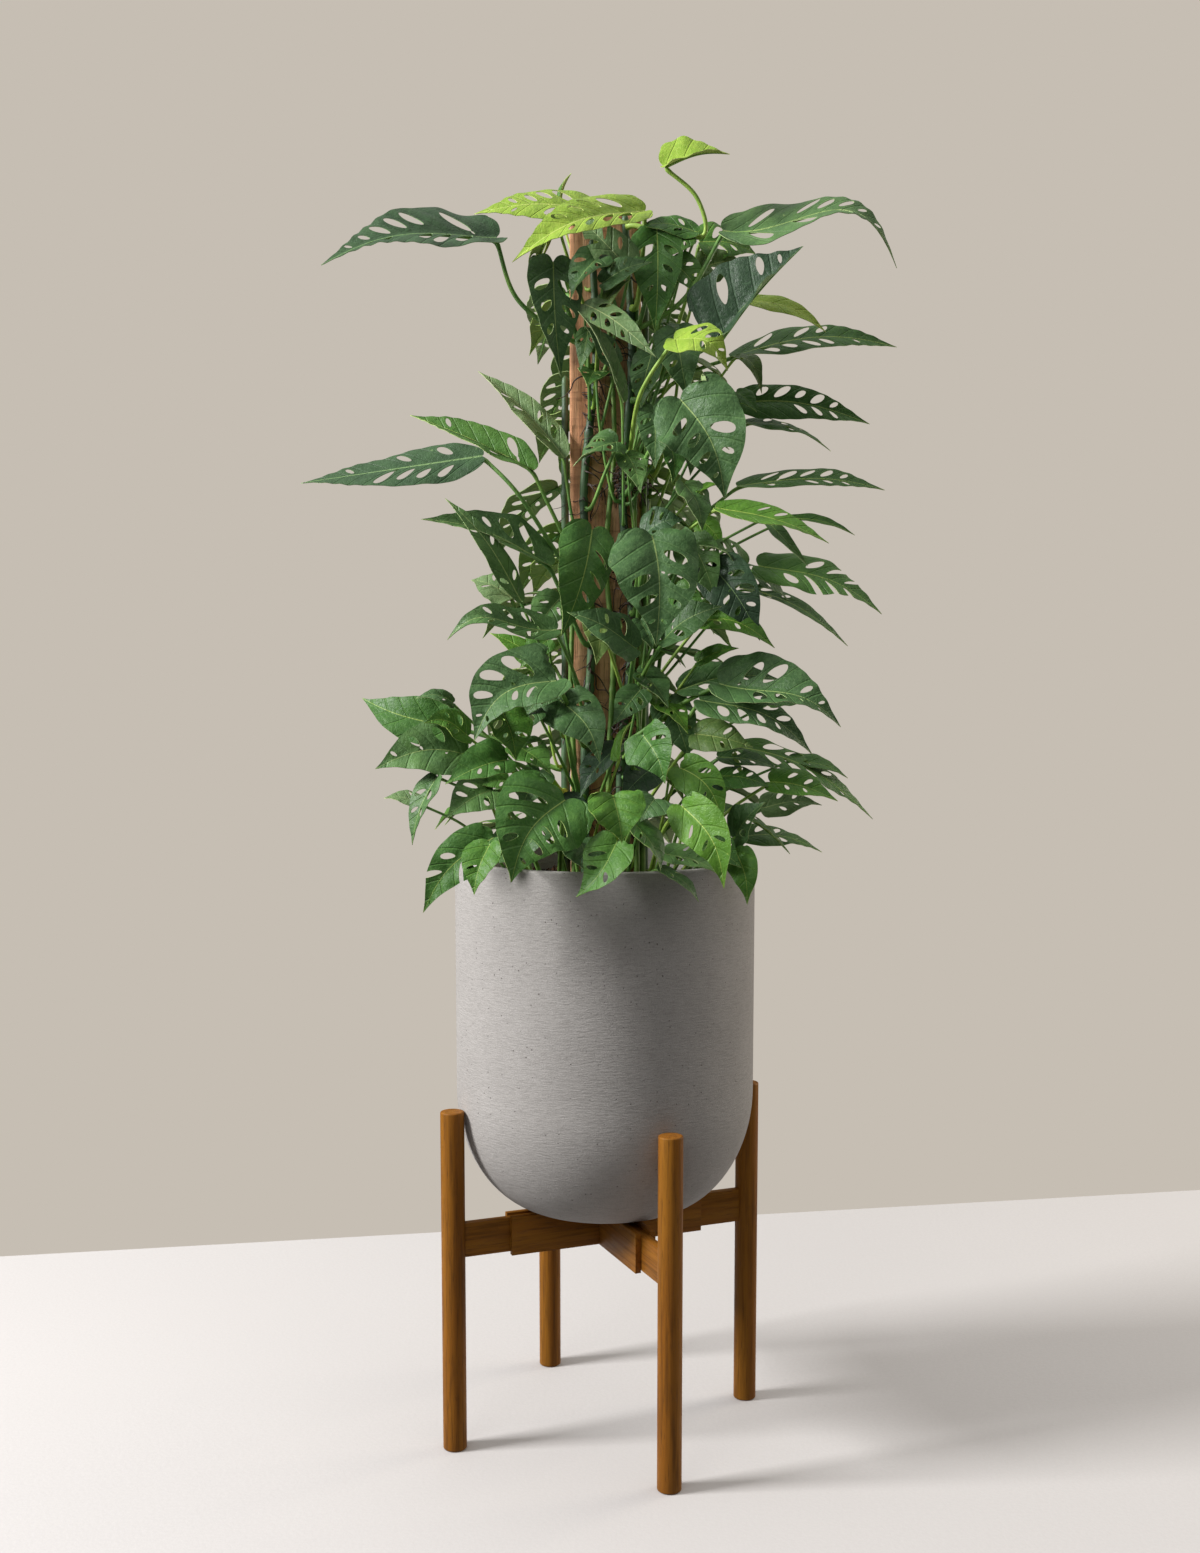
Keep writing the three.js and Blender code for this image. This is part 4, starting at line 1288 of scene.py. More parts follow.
    def bent(self, flat: np.ndarray) -> np.ndarray:
        """Bends the flat blade: arched and twisted along the midrib, folded across it."""
        share, out = flat[:, 0] / self.length, np.abs(flat[:, 1])
        step = 1e-3
        along = unit(self.spine(share + step) - self.spine(share - step))
        face = unit(self.face - (along @ self.face)[:, None] * along)
        across = np.cross(along, face)
        turn = np.radians(self.twist) * (share - 0.3)[:, None]
        cos, sin = np.cos(turn), np.sin(turn)
        face, across = face * cos + across * sin, across * cos - face * sin
        fold = np.radians(self.fold) * (1 - 0.35 * np.clip(share, 0, 1))
        curl = (fold + math.radians(self.lip)) / self.half
        away = (np.sin(fold) - np.sin(fold - curl * out)) / curl
        rise = (np.cos(fold - curl * out) - np.cos(fold)) / curl
        edge = np.clip(out / self.half, 0, 1)
        phase = (share - VEIN_START - self.slant * out / self.length) / self.pitch
        rise += 0.022 * self.leaf.width * (1 - np.cos(2 * math.pi * phase)) / 2 * np.sin(math.pi * edge)
        wave = np.sin(share * 10 + np.sign(flat[:, 1]) * 1.3 + self.swell[2])
        wave += 0.5 * np.sin(share * 21 + np.sign(flat[:, 1]) * 2.1 + self.swell[3])
        rise += self.ruffle * self.leaf.width * edge ** 2 * wave
        sideways = across * (np.sign(flat[:, 1]) * away)[:, None]
        return self.spine(share) + sideways + face * rise[:, None]

    def shell(self) -> tuple[np.ndarray, list, np.ndarray, set]:
        """Gives the blade as a closed thin body.

        Returns:
            Corners, faces, each corner's place on the leaf (along, aside, 0 above or 1
            below), and the pairs of corners that its sharp edges join.
        """
        flat, faces = self.flat()
        upper = self.bent(flat)
        faces = faces[:, ::-1]
        a, b, c = (upper[faces[:, k]] for k in range(3))
        normal = np.zeros_like(upper)
        for k in range(3):
            np.add.at(normal, faces[:, k], np.cross(b - a, c - a))
        lower = upper - unit(normal) * self.thickness
        count = len(flat)
        half_edges = {(int(f[k]), int(f[(k + 1) % 3])) for f in faces for k in range(3)}
        rim = [(i, j) for i, j in half_edges if (j, i) not in half_edges]
        solid = [tuple(f) for f in faces] + [tuple(f[::-1] + count) for f in faces]
        solid += [(j, i, i + count, j + count) for i, j in sorted(rim)]
        sharp = {frozenset(e) for e in rim} | {frozenset((i + count, j + count)) for i, j in rim}
        place = np.column_stack([flat[:, 0] / self.length, flat[:, 1] / self.length, np.zeros(count)])
        places = np.vstack([place, place + (0, 0, 1)])
        return np.vstack([upper, lower]), solid, places, sharp


# The leaves that the photograph shows. The marked ones are also solids of the frame.
LEAVES: list[Leaf] = [
    Leaf("top_left", (496, 238, -65), (321, 265, -120), 78, 38, Tone.TEAL, OnStem("front_left", 1100),
         node=True, by=((518, 300, -58),), arch=0.09, fold=30.0, lip=-14.0),
    Leaf("top_arched", (596, 212, -35), (474, 214, -50), 54, 50, Tone.LIME, OnStem("front_left", 1190),
         node=True, arch=0.08, fold=12.0),
    Leaf("top_new", (664, 166, -60), (730, 154, -62), 52, 38, Tone.LIME, OnStem("front_right", 1215),
         node=True, by=((704, 235, -50), (697, 198, -56),), fold=32.0, lip=-18.0, gaps=0.0),
    Leaf("top_right", (724, 231, -50), (897, 268, -60), 64, 42, Tone.DARK, OnStem("front_right", 1120),
         node=True, by=((683, 300, -60),), arch=0.26, crest=1.5, fold=20.0, lip=0.0),
    Leaf("dark_right", (722, 338, -80), (803, 246, -95), 108, 46, Tone.TEAL,
         OnStem("front_right", 1050), node=True, arch=0.04, fold=35.0, lip=-25.0),
    Leaf("tongue_right", (732, 357, 10), (897, 347, 40), 46, 35, Tone.MID, OnStem("right", 1060),
         node=True, twist=25.0),
    Leaf("lime_right", (674, 339, -110), (728, 371, -125), 50, 45, Tone.LIME,
         OnStem("front_right", 990), node=True, by=((640, 395, -85),), arch=0.3),
    Leaf("hanging_front", (680, 399, -120), (725, 500, -140), 84, 68, Tone.DARK,
         OnStem("front_right", 960), node=True, bend=-0.1),
    Leaf("folded_left", (564, 458, -25), (478, 371, 5), 34, 45, Tone.SAGE, OnStem("front_left", 930),
         node=True, arch=0.04, fold=45.0, lip=-10.0),
    Leaf("finger_left", (533, 470, -45), (410, 415, -15), 48, 36, Tone.MID, OnStem("front_left", 895),
         node=True, arch=0.02, fold=38.0, lip=-28.0),
    Leaf("long_left", (482, 456, -80), (301, 483, -75), 50, 50, Tone.TEAL, OnStem("front_left", 870),
         node=True, by=((515, 490, -85),), arch=0.0, fold=10.0),
    Leaf("pierced_left", (550, 566, -65), (421, 519, -100), 52, 42, Tone.DARK,
         OnStem("front_left", 815), node=True, arch=0.06, fold=38.0, lip=-26.0),
    Leaf("edge_left", (556, 630, -95), (447, 640, -125), 42, 45, Tone.DARK, OnStem("front_left", 760),
         node=True, arch=0.2, crest=2.2),
    Leaf("big_lower_left", (556, 681, -135), (474, 741, -165), 84, 40, Tone.DARK,
         OnStem("front_left", 715), node=True, arch=0.13, bend=0.1, fold=30.0, lip=-14.0),
    Leaf("far_left", (458, 728, -10), (362, 698, 25), 52, 65, Tone.MID, OnStem("left", 690), node=True,
         bend=-0.08, gaps=0.0),
    Leaf("dark_left", (465, 755, -100), (375, 769, -120), 60, 60, Tone.DARK, OnStem("left", 660),
         node=True, by=((520, 765, -90),), bend=0.1),
    Leaf("rim_left", (493, 838, -170), (423, 913, -190), 48, 60, Tone.MID, InSoil(-70, -90), node=True,
         bend=0.06, slits=0.5),
    Leaf("rim_front_left", (565, 800, -170), (511, 883, -215), 92, 50, Tone.MID, InSoil(-45, -70),
         node=True, bend=0.12, gaps=0.9),
    Leaf("rim_middle", (613, 796, -195), (622, 843, -215), 56, 10, Tone.BRIGHT, InSoil(12, -62),
         node=True, gaps=0.5),
    Leaf("rim_low", (617, 842, -185), (576, 897, -200), 50, 40, Tone.MID, InSoil(-8, -85), node=True,
         bend=-0.14, gaps=0.5),
    Leaf("rim_front_right", (682, 806, -185), (724, 889, -215), 46, 66, Tone.BRIGHT, InSoil(40, -75),
         node=True, bend=-0.12, gaps=0.4),
    Leaf("rim_right", (735, 850, -105), (747, 905, -125), 32, 40, Tone.BRIGHT, InSoil(85, -60),
         node=True, bend=-0.1, gaps=0.0),
    Leaf("low_middle", (643, 735, -165), (665, 784, -190), 52, 62, Tone.MID,
         OnStem("front_right", 650), node=True, bend=-0.1, gaps=0.4),
    Leaf("low_right", (680, 768, -125), (723, 826, -145), 40, 62, Tone.BRIGHT, InSoil(45, -50),
         node=True, bend=-0.15, gaps=0.6),
    Leaf("slotted_right", (720, 684, -90), (841, 727, -125), 78, 40, Tone.DARK,
         OnStem("front_right", 720), node=True, arch=0.17, crest=1.5, fold=30.0, lip=-16.0),
    Leaf("under_right", (737, 747, -20), (873, 819, -10), 46, 30, Tone.MID, OnStem("right", 650),
         node=True),
    Leaf("low_far_right", (738, 838, -10), (822, 852, 20), 36, 30, Tone.MID, InSoil(80, -20),
         node=True),
    Leaf("big_front_left", (592, 530, -100), (561, 637, -125), 58, 70, Tone.MID,
         OnStem("front_left", 850), node=True, bend=-0.04, fold=28.0, gaps=0.3),
    Leaf("big_front_right", (652, 536, -110), (656, 647, -140), 88, 0, Tone.DARK,
         OnStem("front_right", 845), node=True, bend=-0.03),
    Leaf("narrow_right", (716, 508, -85), (829, 543, -110), 36, 35, Tone.BRIGHT,
         OnStem("front_right", 880), node=True, arch=0.06, fold=30.0, lip=0.0, gaps=0.5),
    Leaf("pointed_right", (738, 486, 0), (885, 490, 10), 42, 30, Tone.MID, OnStem("right", 900),
         node=True, arch=0.08, twist=35.0),
    Leaf("lance_right", (732, 404, 25), (870, 424, 60), 42, 66, Tone.MID, OnStem("right", 985),
         node=True, arch=0.06, bend=-0.06),
    Leaf("fingered_right", (759, 566, -30), (882, 614, -40), 60, 40, Tone.MID, OnStem("right", 800),
         node=True, slits=0.8),
    Leaf("back_high", (-40, 95, 1180), (-75, 230, 1130), 74, 0, Tone.DARK, OnStem("back", 1110),
         node=True, plain=True),
    Leaf("back_middle", (70, 110, 965), (125, 234, 905), 76, 0, Tone.DARK, OnStem("back", 900),
         node=True, plain=True),
    Leaf("back_low", (-70, 115, 750), (-130, 228, 690), 72, 0, Tone.MID, OnStem("back", 700),
         node=True, plain=True),
    Leaf("crown_lime", (645, 211, -45), (512, 262, -100), 56, 45, Tone.LIME,
         OnStem("front_right", 1175), arch=0.12),
    Leaf("furled_tip", (560, 215, 0), (571, 173, 5), 14, 0, Tone.BRIGHT, OnStem("front_left", 1195),
         fold=70.0, gaps=0.0),
    Leaf("crown_strip", (555, 218, -60), (535, 312, -75), 36, -55, Tone.BRIGHT,
         OnStem("front_left", 1170)),
    Leaf("hanging_left", (553, 262, -60), (561, 378, -75), 58, 0, Tone.DARK,
         OnStem("front_left", 1120), bend=0.05, gaps=1.2),
    Leaf("curly_dark", (600, 256, -60), (570, 300, -80), 40, 30, Tone.DARK,
         OnStem("front_right", 1150), twist=60.0),
    Leaf("comb_grey", (630, 270, -60), (576, 214, -50), 40, 80, Tone.SAGE, OnStem("front_left", 1110),
         slits=1.0),
    Leaf("crown_heart", (602, 283, -70), (652, 262, -80), 32, 60, Tone.DARK,
         OnStem("front_left", 1100)),
    Leaf("crown_olive", (599, 310, -65), (631, 279, -75), 24, 60, Tone.OLIVE,
         OnStem("front_left", 1080), gaps=0.5),
    Leaf("long_sage", (584, 304, -60), (656, 357, -110), 30, 50, Tone.SAGE,
         OnStem("front_left", 1090)),
    Leaf("folded_pale", (623, 402, -70), (578, 311, -85), 22, 60, Tone.SAGE,
         OnStem("front_right", 970), fold=55.0, gaps=0.3),
    Leaf("small_dark", (617, 362, -55), (585, 326, -60), 30, 60, Tone.DARK,
         OnStem("front_left", 1040)),
    Leaf("crown_small", (697, 232, -50), (637, 228, -40), 28, 50, Tone.MID,
         OnStem("front_right", 1130), arch=0.12),
    Leaf("hanging_pierced", (657, 230, -45), (655, 333, -70), 52, 0, Tone.MID,
         OnStem("front_right", 1160)),
    Leaf("crown_bright", (700, 242, -20), (756, 254, 0), 46, 60, Tone.BRIGHT, OnStem("right", 1110)),
    Leaf("lime_narrow", (745, 300, -10), (826, 332, -20), 26, 45, Tone.LIME, OnStem("right", 1090),
         gaps=0.3),
    Leaf("olive_arched", (735, 357, -20), (762, 394, -40), 20, 30, Tone.OLIVE, OnStem("right", 1030),
         arch=0.32, gaps=0.5),
    Leaf("small_right", (736, 392, -20), (757, 412, -35), 26, 30, Tone.MID, OnStem("right", 1000),
         gaps=0.3),
    Leaf("lower_lance", (746, 423, 20), (831, 451, 50), 28, 30, Tone.MID, OnStem("right", 980)),
    Leaf("pale_small", (690, 498, -60), (719, 484, -75), 22, 40, Tone.BRIGHT,
         OnStem("front_right", 930), gaps=0.0),
    Leaf("dark_under", (684, 484, -70), (702, 532, -90), 34, 10, Tone.DARK, OnStem("front_right", 940),
         gaps=0.5),
    Leaf("crumpled_dark", (618, 442, -60), (573, 466, -80), 40, 30, Tone.DARK,
         OnStem("front_left", 985), twist=70.0),
    Leaf("dark_middle", (655, 409, -70), (655, 469, -95), 40, 0, Tone.DARK,
         OnStem("front_right", 1010)),
    Leaf("green_middle", (668, 439, -60), (672, 484, -75), 26, 0, Tone.MID, OnStem("front_right", 990),
         gaps=0.5),
    Leaf("dark_curl", (745, 566, -40), (699, 545, -70), 40, 50, Tone.DARK, OnStem("right", 850),
         twist=50.0),
    Leaf("dark_hanging", (712, 566, -60), (760, 641, -85), 52, 65, Tone.TEAL,
         OnStem("front_right", 860)),
    Leaf("dark_narrow", (732, 570, -20), (788, 600, 0), 40, 40, Tone.DARK, OnStem("right", 840)),
    Leaf("narrow_slip", (740, 588, 0), (848, 646, 20), 26, 35, Tone.MID, OnStem("right", 810)),
    Leaf("bright_low", (700, 622, -60), (775, 648, -90), 42, 40, Tone.BRIGHT,
         OnStem("front_right", 790), arch=0.2),
    Leaf("dark_swirl", (664, 640, -90), (722, 606, -110), 50, 50, Tone.DARK,
         OnStem("front_right", 800), twist=40.0),
    Leaf("dark_level", (635, 648, -110), (567, 612, -130), 50, 55, Tone.DARK,
         OnStem("front_right", 790)),
    Leaf("dark_tuck", (640, 620, -80), (652, 650, -95), 28, 20, Tone.DARK, OnStem("front_right", 800),
         gaps=0.3),
    Leaf("narrow_left", (521, 601, -90), (445, 498, -100), 26, 60, Tone.DARK,
         OnStem("front_left", 770)),
    Leaf("underside_left", (512, 598, 0), (471, 580, 20), 46, 30, Tone.SAGE, OnStem("left", 800)),
    Leaf("light_small", (545, 670, -20), (490, 633, 0), 32, 40, Tone.BRIGHT, OnStem("left", 730),
         gaps=0.5),
    Leaf("curl_left", (453, 703, -60), (416, 698, -70), 22, 40, Tone.DARK, OnStem("left", 690),
         arch=0.2, gaps=0.5),
    Leaf("bright_left", (468, 736, -100), (424, 723, -120), 36, 50, Tone.BRIGHT, OnStem("left", 680),
         bend=0.14),
    Leaf("hanging_far_left", (437, 777, -120), (412, 845, -135), 34, 10, Tone.DARK,
         OnStem("left", 650)),
    Leaf("pale_thin", (420, 803, -60), (384, 798, -60), 26, 30, Tone.SAGE, InSoil(-90, -30), gaps=0.4),
    Leaf("rim_back_left", (507, 760, -120), (445, 784, -150), 46, 45, Tone.MID,
         OnStem("front_left", 650)),
    Leaf("slit_left", (493, 790, -110), (446, 818, -140), 48, 40, Tone.DARK, InSoil(-60, -60)),
    Leaf("small_left", (508, 780, -100), (475, 785, -110), 28, 40, Tone.MID, OnStem("left", 640),
         gaps=0.5),
    Leaf("face_on_left", (502, 711, -130), (516, 761, -150), 50, 5, Tone.BRIGHT, OnStem("left", 705)),
    Leaf("slit_small", (536, 709, -100), (502, 744, -120), 36, 30, Tone.DARK,
         OnStem("front_left", 700)),
    Leaf("tuck_left", (516, 745, -110), (552, 775, -130), 40, 30, Tone.MID, OnStem("left", 680)),
    Leaf("tuck_stake", (558, 686, -90), (523, 718, -110), 30, 30, Tone.DARK,
         OnStem("front_left", 690)),
    Leaf("dark_front", (560, 700, -90), (600, 763, -130), 54, 40, Tone.DARK, OnStem("front_left", 700),
         bend=-0.1, gaps=0.5),
    Leaf("bright_rim_left", (490, 844, -180), (474, 895, -200), 40, 10, Tone.BRIGHT, InSoil(-62, -100),
         gaps=0.3),
    Leaf("behind_rim_left", (545, 822, -140), (516, 867, -165), 34, 20, Tone.DARK, InSoil(-35, -62)),
    Leaf("dark_rim_middle", (580, 841, -155), (593, 878, -172), 56, 0, Tone.DARK, InSoil(-15, -75),
         gaps=0.6),
    Leaf("heart_dark", (655, 799, -150), (640, 822, -165), 44, 30, Tone.DARK, InSoil(20, -60),
         gaps=0.5),
    Leaf("under_bright", (635, 824, -165), (661, 871, -185), 40, 0, Tone.MID, InSoil(10, -85),
         gaps=0.4),
    Leaf("narrow_rim", (662, 868, -160), (699, 902, -178), 30, 0, Tone.DARK, InSoil(35, -95),
         gaps=0.4),
    Leaf("dark_rim_right", (665, 854, -150), (723, 877, -165), 46, 20, Tone.DARK, InSoil(45, -85)),
    Leaf("folded_small", (618, 760, -140), (632, 721, -135), 24, 0, Tone.BRIGHT,
         OnStem("front_left", 640), fold=50.0, gaps=0.0),
    Leaf("dark_low", (618, 747, -110), (580, 798, -125), 40, 20, Tone.TEAL, OnStem("front_left", 670)),
    Leaf("behind_slotted", (680, 690, -60), (781, 680, -60), 44, 40, Tone.DARK,
         OnStem("front_right", 700)),
    Leaf("arching_dark", (700, 700, -80), (813, 755, -110), 50, 40, Tone.DARK,
         OnStem("front_right", 690), arch=0.18),
    Leaf("pierced_behind", (766, 704, 0), (813, 700, 20), 32, 30, Tone.MID, OnStem("right", 720)),
    Leaf("olive_low", (695, 734, -80), (753, 747, -100), 44, 50, Tone.OLIVE,
         OnStem("front_right", 670)),
    Leaf("thin_tip", (790, 760, -10), (848, 778, -10), 26, 30, Tone.MID, OnStem("right", 660),
         gaps=0.3),
    Leaf("spotted_bright", (770, 782, -60), (838, 801, -80), 40, 40, Tone.BRIGHT, InSoil(70, -40)),
    Leaf("level_low", (721, 776, -60), (772, 788, -70), 32, 40, Tone.MID, OnStem("right", 650)),
    Leaf("thin_dark", (718, 757, -50), (779, 770, -50), 26, 40, Tone.DARK, OnStem("right", 655)),
    Leaf("pale_pierced", (763, 808, -40), (822, 805, -30), 36, 40, Tone.SAGE, InSoil(75, -35)),
    Leaf("round_dark", (735, 838, -80), (765, 802, -100), 50, 60, Tone.DARK, InSoil(65, -70)),
    Leaf("thin_green", (697, 662, -70), (739, 648, -80), 22, 50, Tone.BRIGHT,
         OnStem("front_right", 740), gaps=0.0),
    Leaf("thin_right_a", (788, 518, -20), (855, 535, -10), 14, 40, Tone.MID, OnStem("right", 900),
         fold=45.0, gaps=0.0),
    Leaf("thin_right_b", (764, 518, -60), (808, 566, -80), 15, 50, Tone.DARK,
         OnStem("front_right", 900), fold=45.0, gaps=0.0),
    Leaf("crown_mid_d", (672, 262, -50), (704, 300, -60), 34, 60, Tone.MID,
         OnStem("front_right", 1100)),
    Leaf("crown_mid_e", (688, 236, -50), (660, 262, -60), 30, 50, Tone.MID, OnStem("right", 1120)),
    Leaf("crown_olive_f", (700, 268, -30), (742, 262, -20), 38, 65, Tone.OLIVE, OnStem("right", 1080)),
    Leaf("behind_dark_g", (676, 330, -60), (688, 400, -80), 46, 30, Tone.DARK,
         OnStem("front_right", 1040), slits=0.2),
    Leaf("behind_dark_h", (652, 352, -60), (640, 412, -74), 34, 20, Tone.DARK,
         OnStem("front_right", 1030)),
    Leaf("stake_dark_i", (588, 330, -54), (580, 372, -66), 22, 20, Tone.DARK,
         OnStem("front_left", 1070), twist=30.0),
    Leaf("mid_dark_j", (702, 430, -50), (690, 476, -70), 30, 20, Tone.DARK, OnStem("right", 960)),
    Leaf("mid_dark_k", (690, 540, -50), (716, 600, -76), 44, 50, Tone.DARK, OnStem("right", 870)),
    Leaf("mid_green_l", (676, 588, -60), (706, 628, -84), 34, 50, Tone.MID,
         OnStem("front_right", 820)),
    Leaf("mid_pale_m", (700, 520, -30), (724, 548, -50), 24, 50, Tone.BRIGHT, OnStem("right", 880),
         gaps=0.3),
    Leaf("mid_dark_n", (560, 598, -60), (530, 640, -84), 36, 50, Tone.DARK, OnStem("front_left", 790)),
    Leaf("mid_green_o", (548, 640, -50), (520, 668, -60), 28, 50, Tone.MID, OnStem("left", 760),
         gaps=0.4),
    Leaf("low_dark_p", (640, 690, -70), (612, 726, -90), 34, 40, Tone.DARK,
         OnStem("front_right", 740)),
    Leaf("low_dark_q", (668, 700, -60), (690, 760, -80), 44, 40, Tone.DARK, OnStem("front_right", 720),
         slits=0.2),
    Leaf("low_dark_r", (700, 780, -60), (716, 836, -84), 40, 30, Tone.TEAL, InSoil(60, -20)),
    Leaf("low_dark_s", (540, 770, -80), (520, 812, -100), 36, 30, Tone.DARK, InSoil(-40, -20)),
    Leaf("low_dark_t", (560, 800, -80), (590, 838, -100), 40, 40, Tone.TEAL, InSoil(-25, -45),
         gaps=0.5),
    Leaf("low_dark_u", (650, 770, -90), (620, 800, -120), 40, 40, Tone.TEAL, InSoil(15, -40),
         gaps=0.5),
    Leaf("low_mid_v", (700, 840, -100), (742, 868, -124), 40, 50, Tone.MID, InSoil(60, -60), gaps=0.5),
    Leaf("low_mid_w", (520, 840, -110), (480, 868, -140), 40, 50, Tone.DARK, InSoil(-60, -50),
         gaps=0.5),
    Leaf("round_mid", (644, 534, -62), (684, 520, -70), 40, 60, Tone.TEAL, OnStem("front_right", 900),
         arch=0.2),
]


@dataclass
class Foliage:
    """All leaves, each one blade on its own petiole."""

    far_count: int = 36
    inner_count: int = 18
    rim_count: int = 9
    petiole_radius: float = 2.35
    drop: float = 38.0
    start: float = 6.0

    @staticmethod
    def hanging(
        name: str,
        around: float,
        foot: tuple[float, float],
        reach: float,
        fall: tuple[float, float],
        shape: tuple[float, float],
        tone: Tone,
        root: OnStem | InSoil,
    ) -> Leaf:
        """Gives a leaf that points away from the pot's axis and hangs down.

        Args:
            name: Its name.
            around: The direction that it points in, in radians.
            foot: How far from the axis and how high its blade starts.
            reach: About its blade's length.
            fall: How far out and how far down it goes, as shares of the reach.
            shape: Its width as a share of the reach, and its roll.
            tone: Its colours.
            root: What it grows from.

        Returns:
            The leaf.
        """
        away = np.array([math.cos(around), math.sin(around), 0])
        base = away * foot[0] + (0, 0, foot[1])
        tip = base + away * reach * fall[0] - (0, 0, reach * fall[1])
        return Leaf(name, tuple(base), tuple(tip), reach * shape[0], shape[1], tone, root, plain=True)

    def far_leaves(self) -> list[Leaf]:
        """Gives the leaves of the side that the photograph doesn't show, and inner ones."""
        found = []
        tones = (Tone.DARK, Tone.MID, Tone.DARK, Tone.BRIGHT, Tone.DARK, Tone.MID)
        inner_tones = (Tone.DARK, Tone.OLIVE, Tone.MID, Tone.DARK, Tone.BRIGHT)
        for turn in range(self.far_count):
            height = 1165 - 500 / self.far_count * turn
            spread = 38 if height > 1010 else 50 if height > 860 else 64
            around = math.radians(84 + spread * math.sin(2.4 * turn + 0.6))
            near, reach = 52 + 22 * abs(math.sin(1.7 * turn)), 92 + 26 * math.sin(1.1 * turn) ** 2
            fall = (0.86, 0.34 + 0.25 * math.sin(0.9 * turn) ** 2)
            root = OnStem("back" if math.cos(around) < 0.5 else "right", height)
            found.append(self.hanging(
                f"far_{turn + 1}", around, (near, height + 34), reach, fall, (0.5, 0),
                tones[turn % len(tones)], root,
            ))
        for turn in range(self.inner_count):
            height = 1105 - 470 / self.inner_count * turn
            around = math.radians(-28 + 50 * math.sin(2.2 * turn) - 26 * math.sin(0.7 * turn))
            near, reach = 58 + 18 * math.sin(1.9 * turn), 52 + 22 * math.sin(1.3 * turn) ** 2
            fall = (0.7, 0.5 + 0.3 * math.sin(2.9 * turn))
            root = OnStem("right" if turn % 2 else "front_right", height - 60)
            found.append(self.hanging(
                f"inner_{turn + 1}", around, (near, height + 22), reach, fall, (0.56, 12),
                inner_tones[turn % len(inner_tones)], root,
            ))
        for turn in range(self.rim_count):
            around = math.radians(-12 + 26 * turn)
            near, reach = 112 + 10 * math.sin(3.3 * turn), 78 + 16 * math.sin(2.1 * turn + 1)
            height = 652 + 24 * math.sin(1.9 * turn)
            root = InSoil(math.cos(around) * 96, math.sin(around) * 96)
            found.append(self.hanging(
                f"rim_far_{turn + 1}", around, (near, height), reach, (0.84, 0.5), (0.62, 0),
                tones[(turn + 1) % len(tones)], root,
            ))
        return found

    def stalk(
        self, leaf: Leaf, blade: Blade, stems: dict[str, np.ndarray], eye: Eye,
    ) -> tuple[np.ndarray, np.ndarray]:
        """Lays the petiole from its root to the blade, and on under it as the midrib.

        Args:
            leaf: The leaf.
            blade: Its blade.
            stems: The line of each stem.
            eye: Where picture points are seen from.

        Returns:
            The points of one line and its radius at each.
        """
        if isinstance(leaf.root, InSoil):
            foot = np.array([leaf.root.x, leaf.root.y, SOIL_TOP - 4.0])
            out = np.array([0, 0, 1.0])
        else:
            line = stems[leaf.root.stem]
            height = leaf.root.height - (0 if leaf.node else self.drop)
            foot = line[np.abs(line[:, 2] - max(height, SOIL_TOP + 12)).argmin()]
            out = unit((blade.base - foot) * (1, 1, 0))
            foot = foot + out * (STEM_RADIUS - 1.5)
        reach = np.linalg.norm(blade.base - foot)
        route = [foot, foot + out * self.start]
        if leaf.by:
            route += [eye.seen(point) for point in leaf.by]
        else:
            middle = (foot + blade.base) / 2 + out * reach * 0.08
            route.append(middle + (0, 0, reach * 0.06))
        below = blade.spine(np.array([0.0, 0.03])) - blade.face * 1.2
        way = smooth_curve([tuple(p) for p in (*route, below[0])], 3.0)
        share = np.linspace(0.04, 0.97, 22)
        rib = blade.spine(share)
        rib_radius = 1.25 * (1 - share) ** 0.8 + 0.22
        rib = rib - blade.face * (rib_radius + 0.15)[:, None]
        line = np.vstack([way, rib])
        ramp = np.linspace(0, 1, len(way))
        from_foot = np.arange(len(way)) * 3.0
        stalk = 1 + 0.55 * np.exp(-from_foot / 5)
        stalk = stalk + 0.22 * np.exp(-((from_foot - from_foot[-1] + 4) / 4) ** 2)
        stalk = stalk * self.petiole_radius * (1 - 0.18 * ramp)
        scale = float(np.clip(leaf.width / 50, 0.65, 1.1))
        radius = np.concatenate([stalk, rib_radius]) * scale
        joint = slice(max(len(way) - 4, 1), len(way) + 3)
        before, after = slice(joint.start - 1, joint.stop - 1), slice(joint.start + 1, joint.stop + 1)
        for _ in range(3):
            line[joint] = (line[before] + line[joint] * 2 + line[after]) / 4
        return line, radius

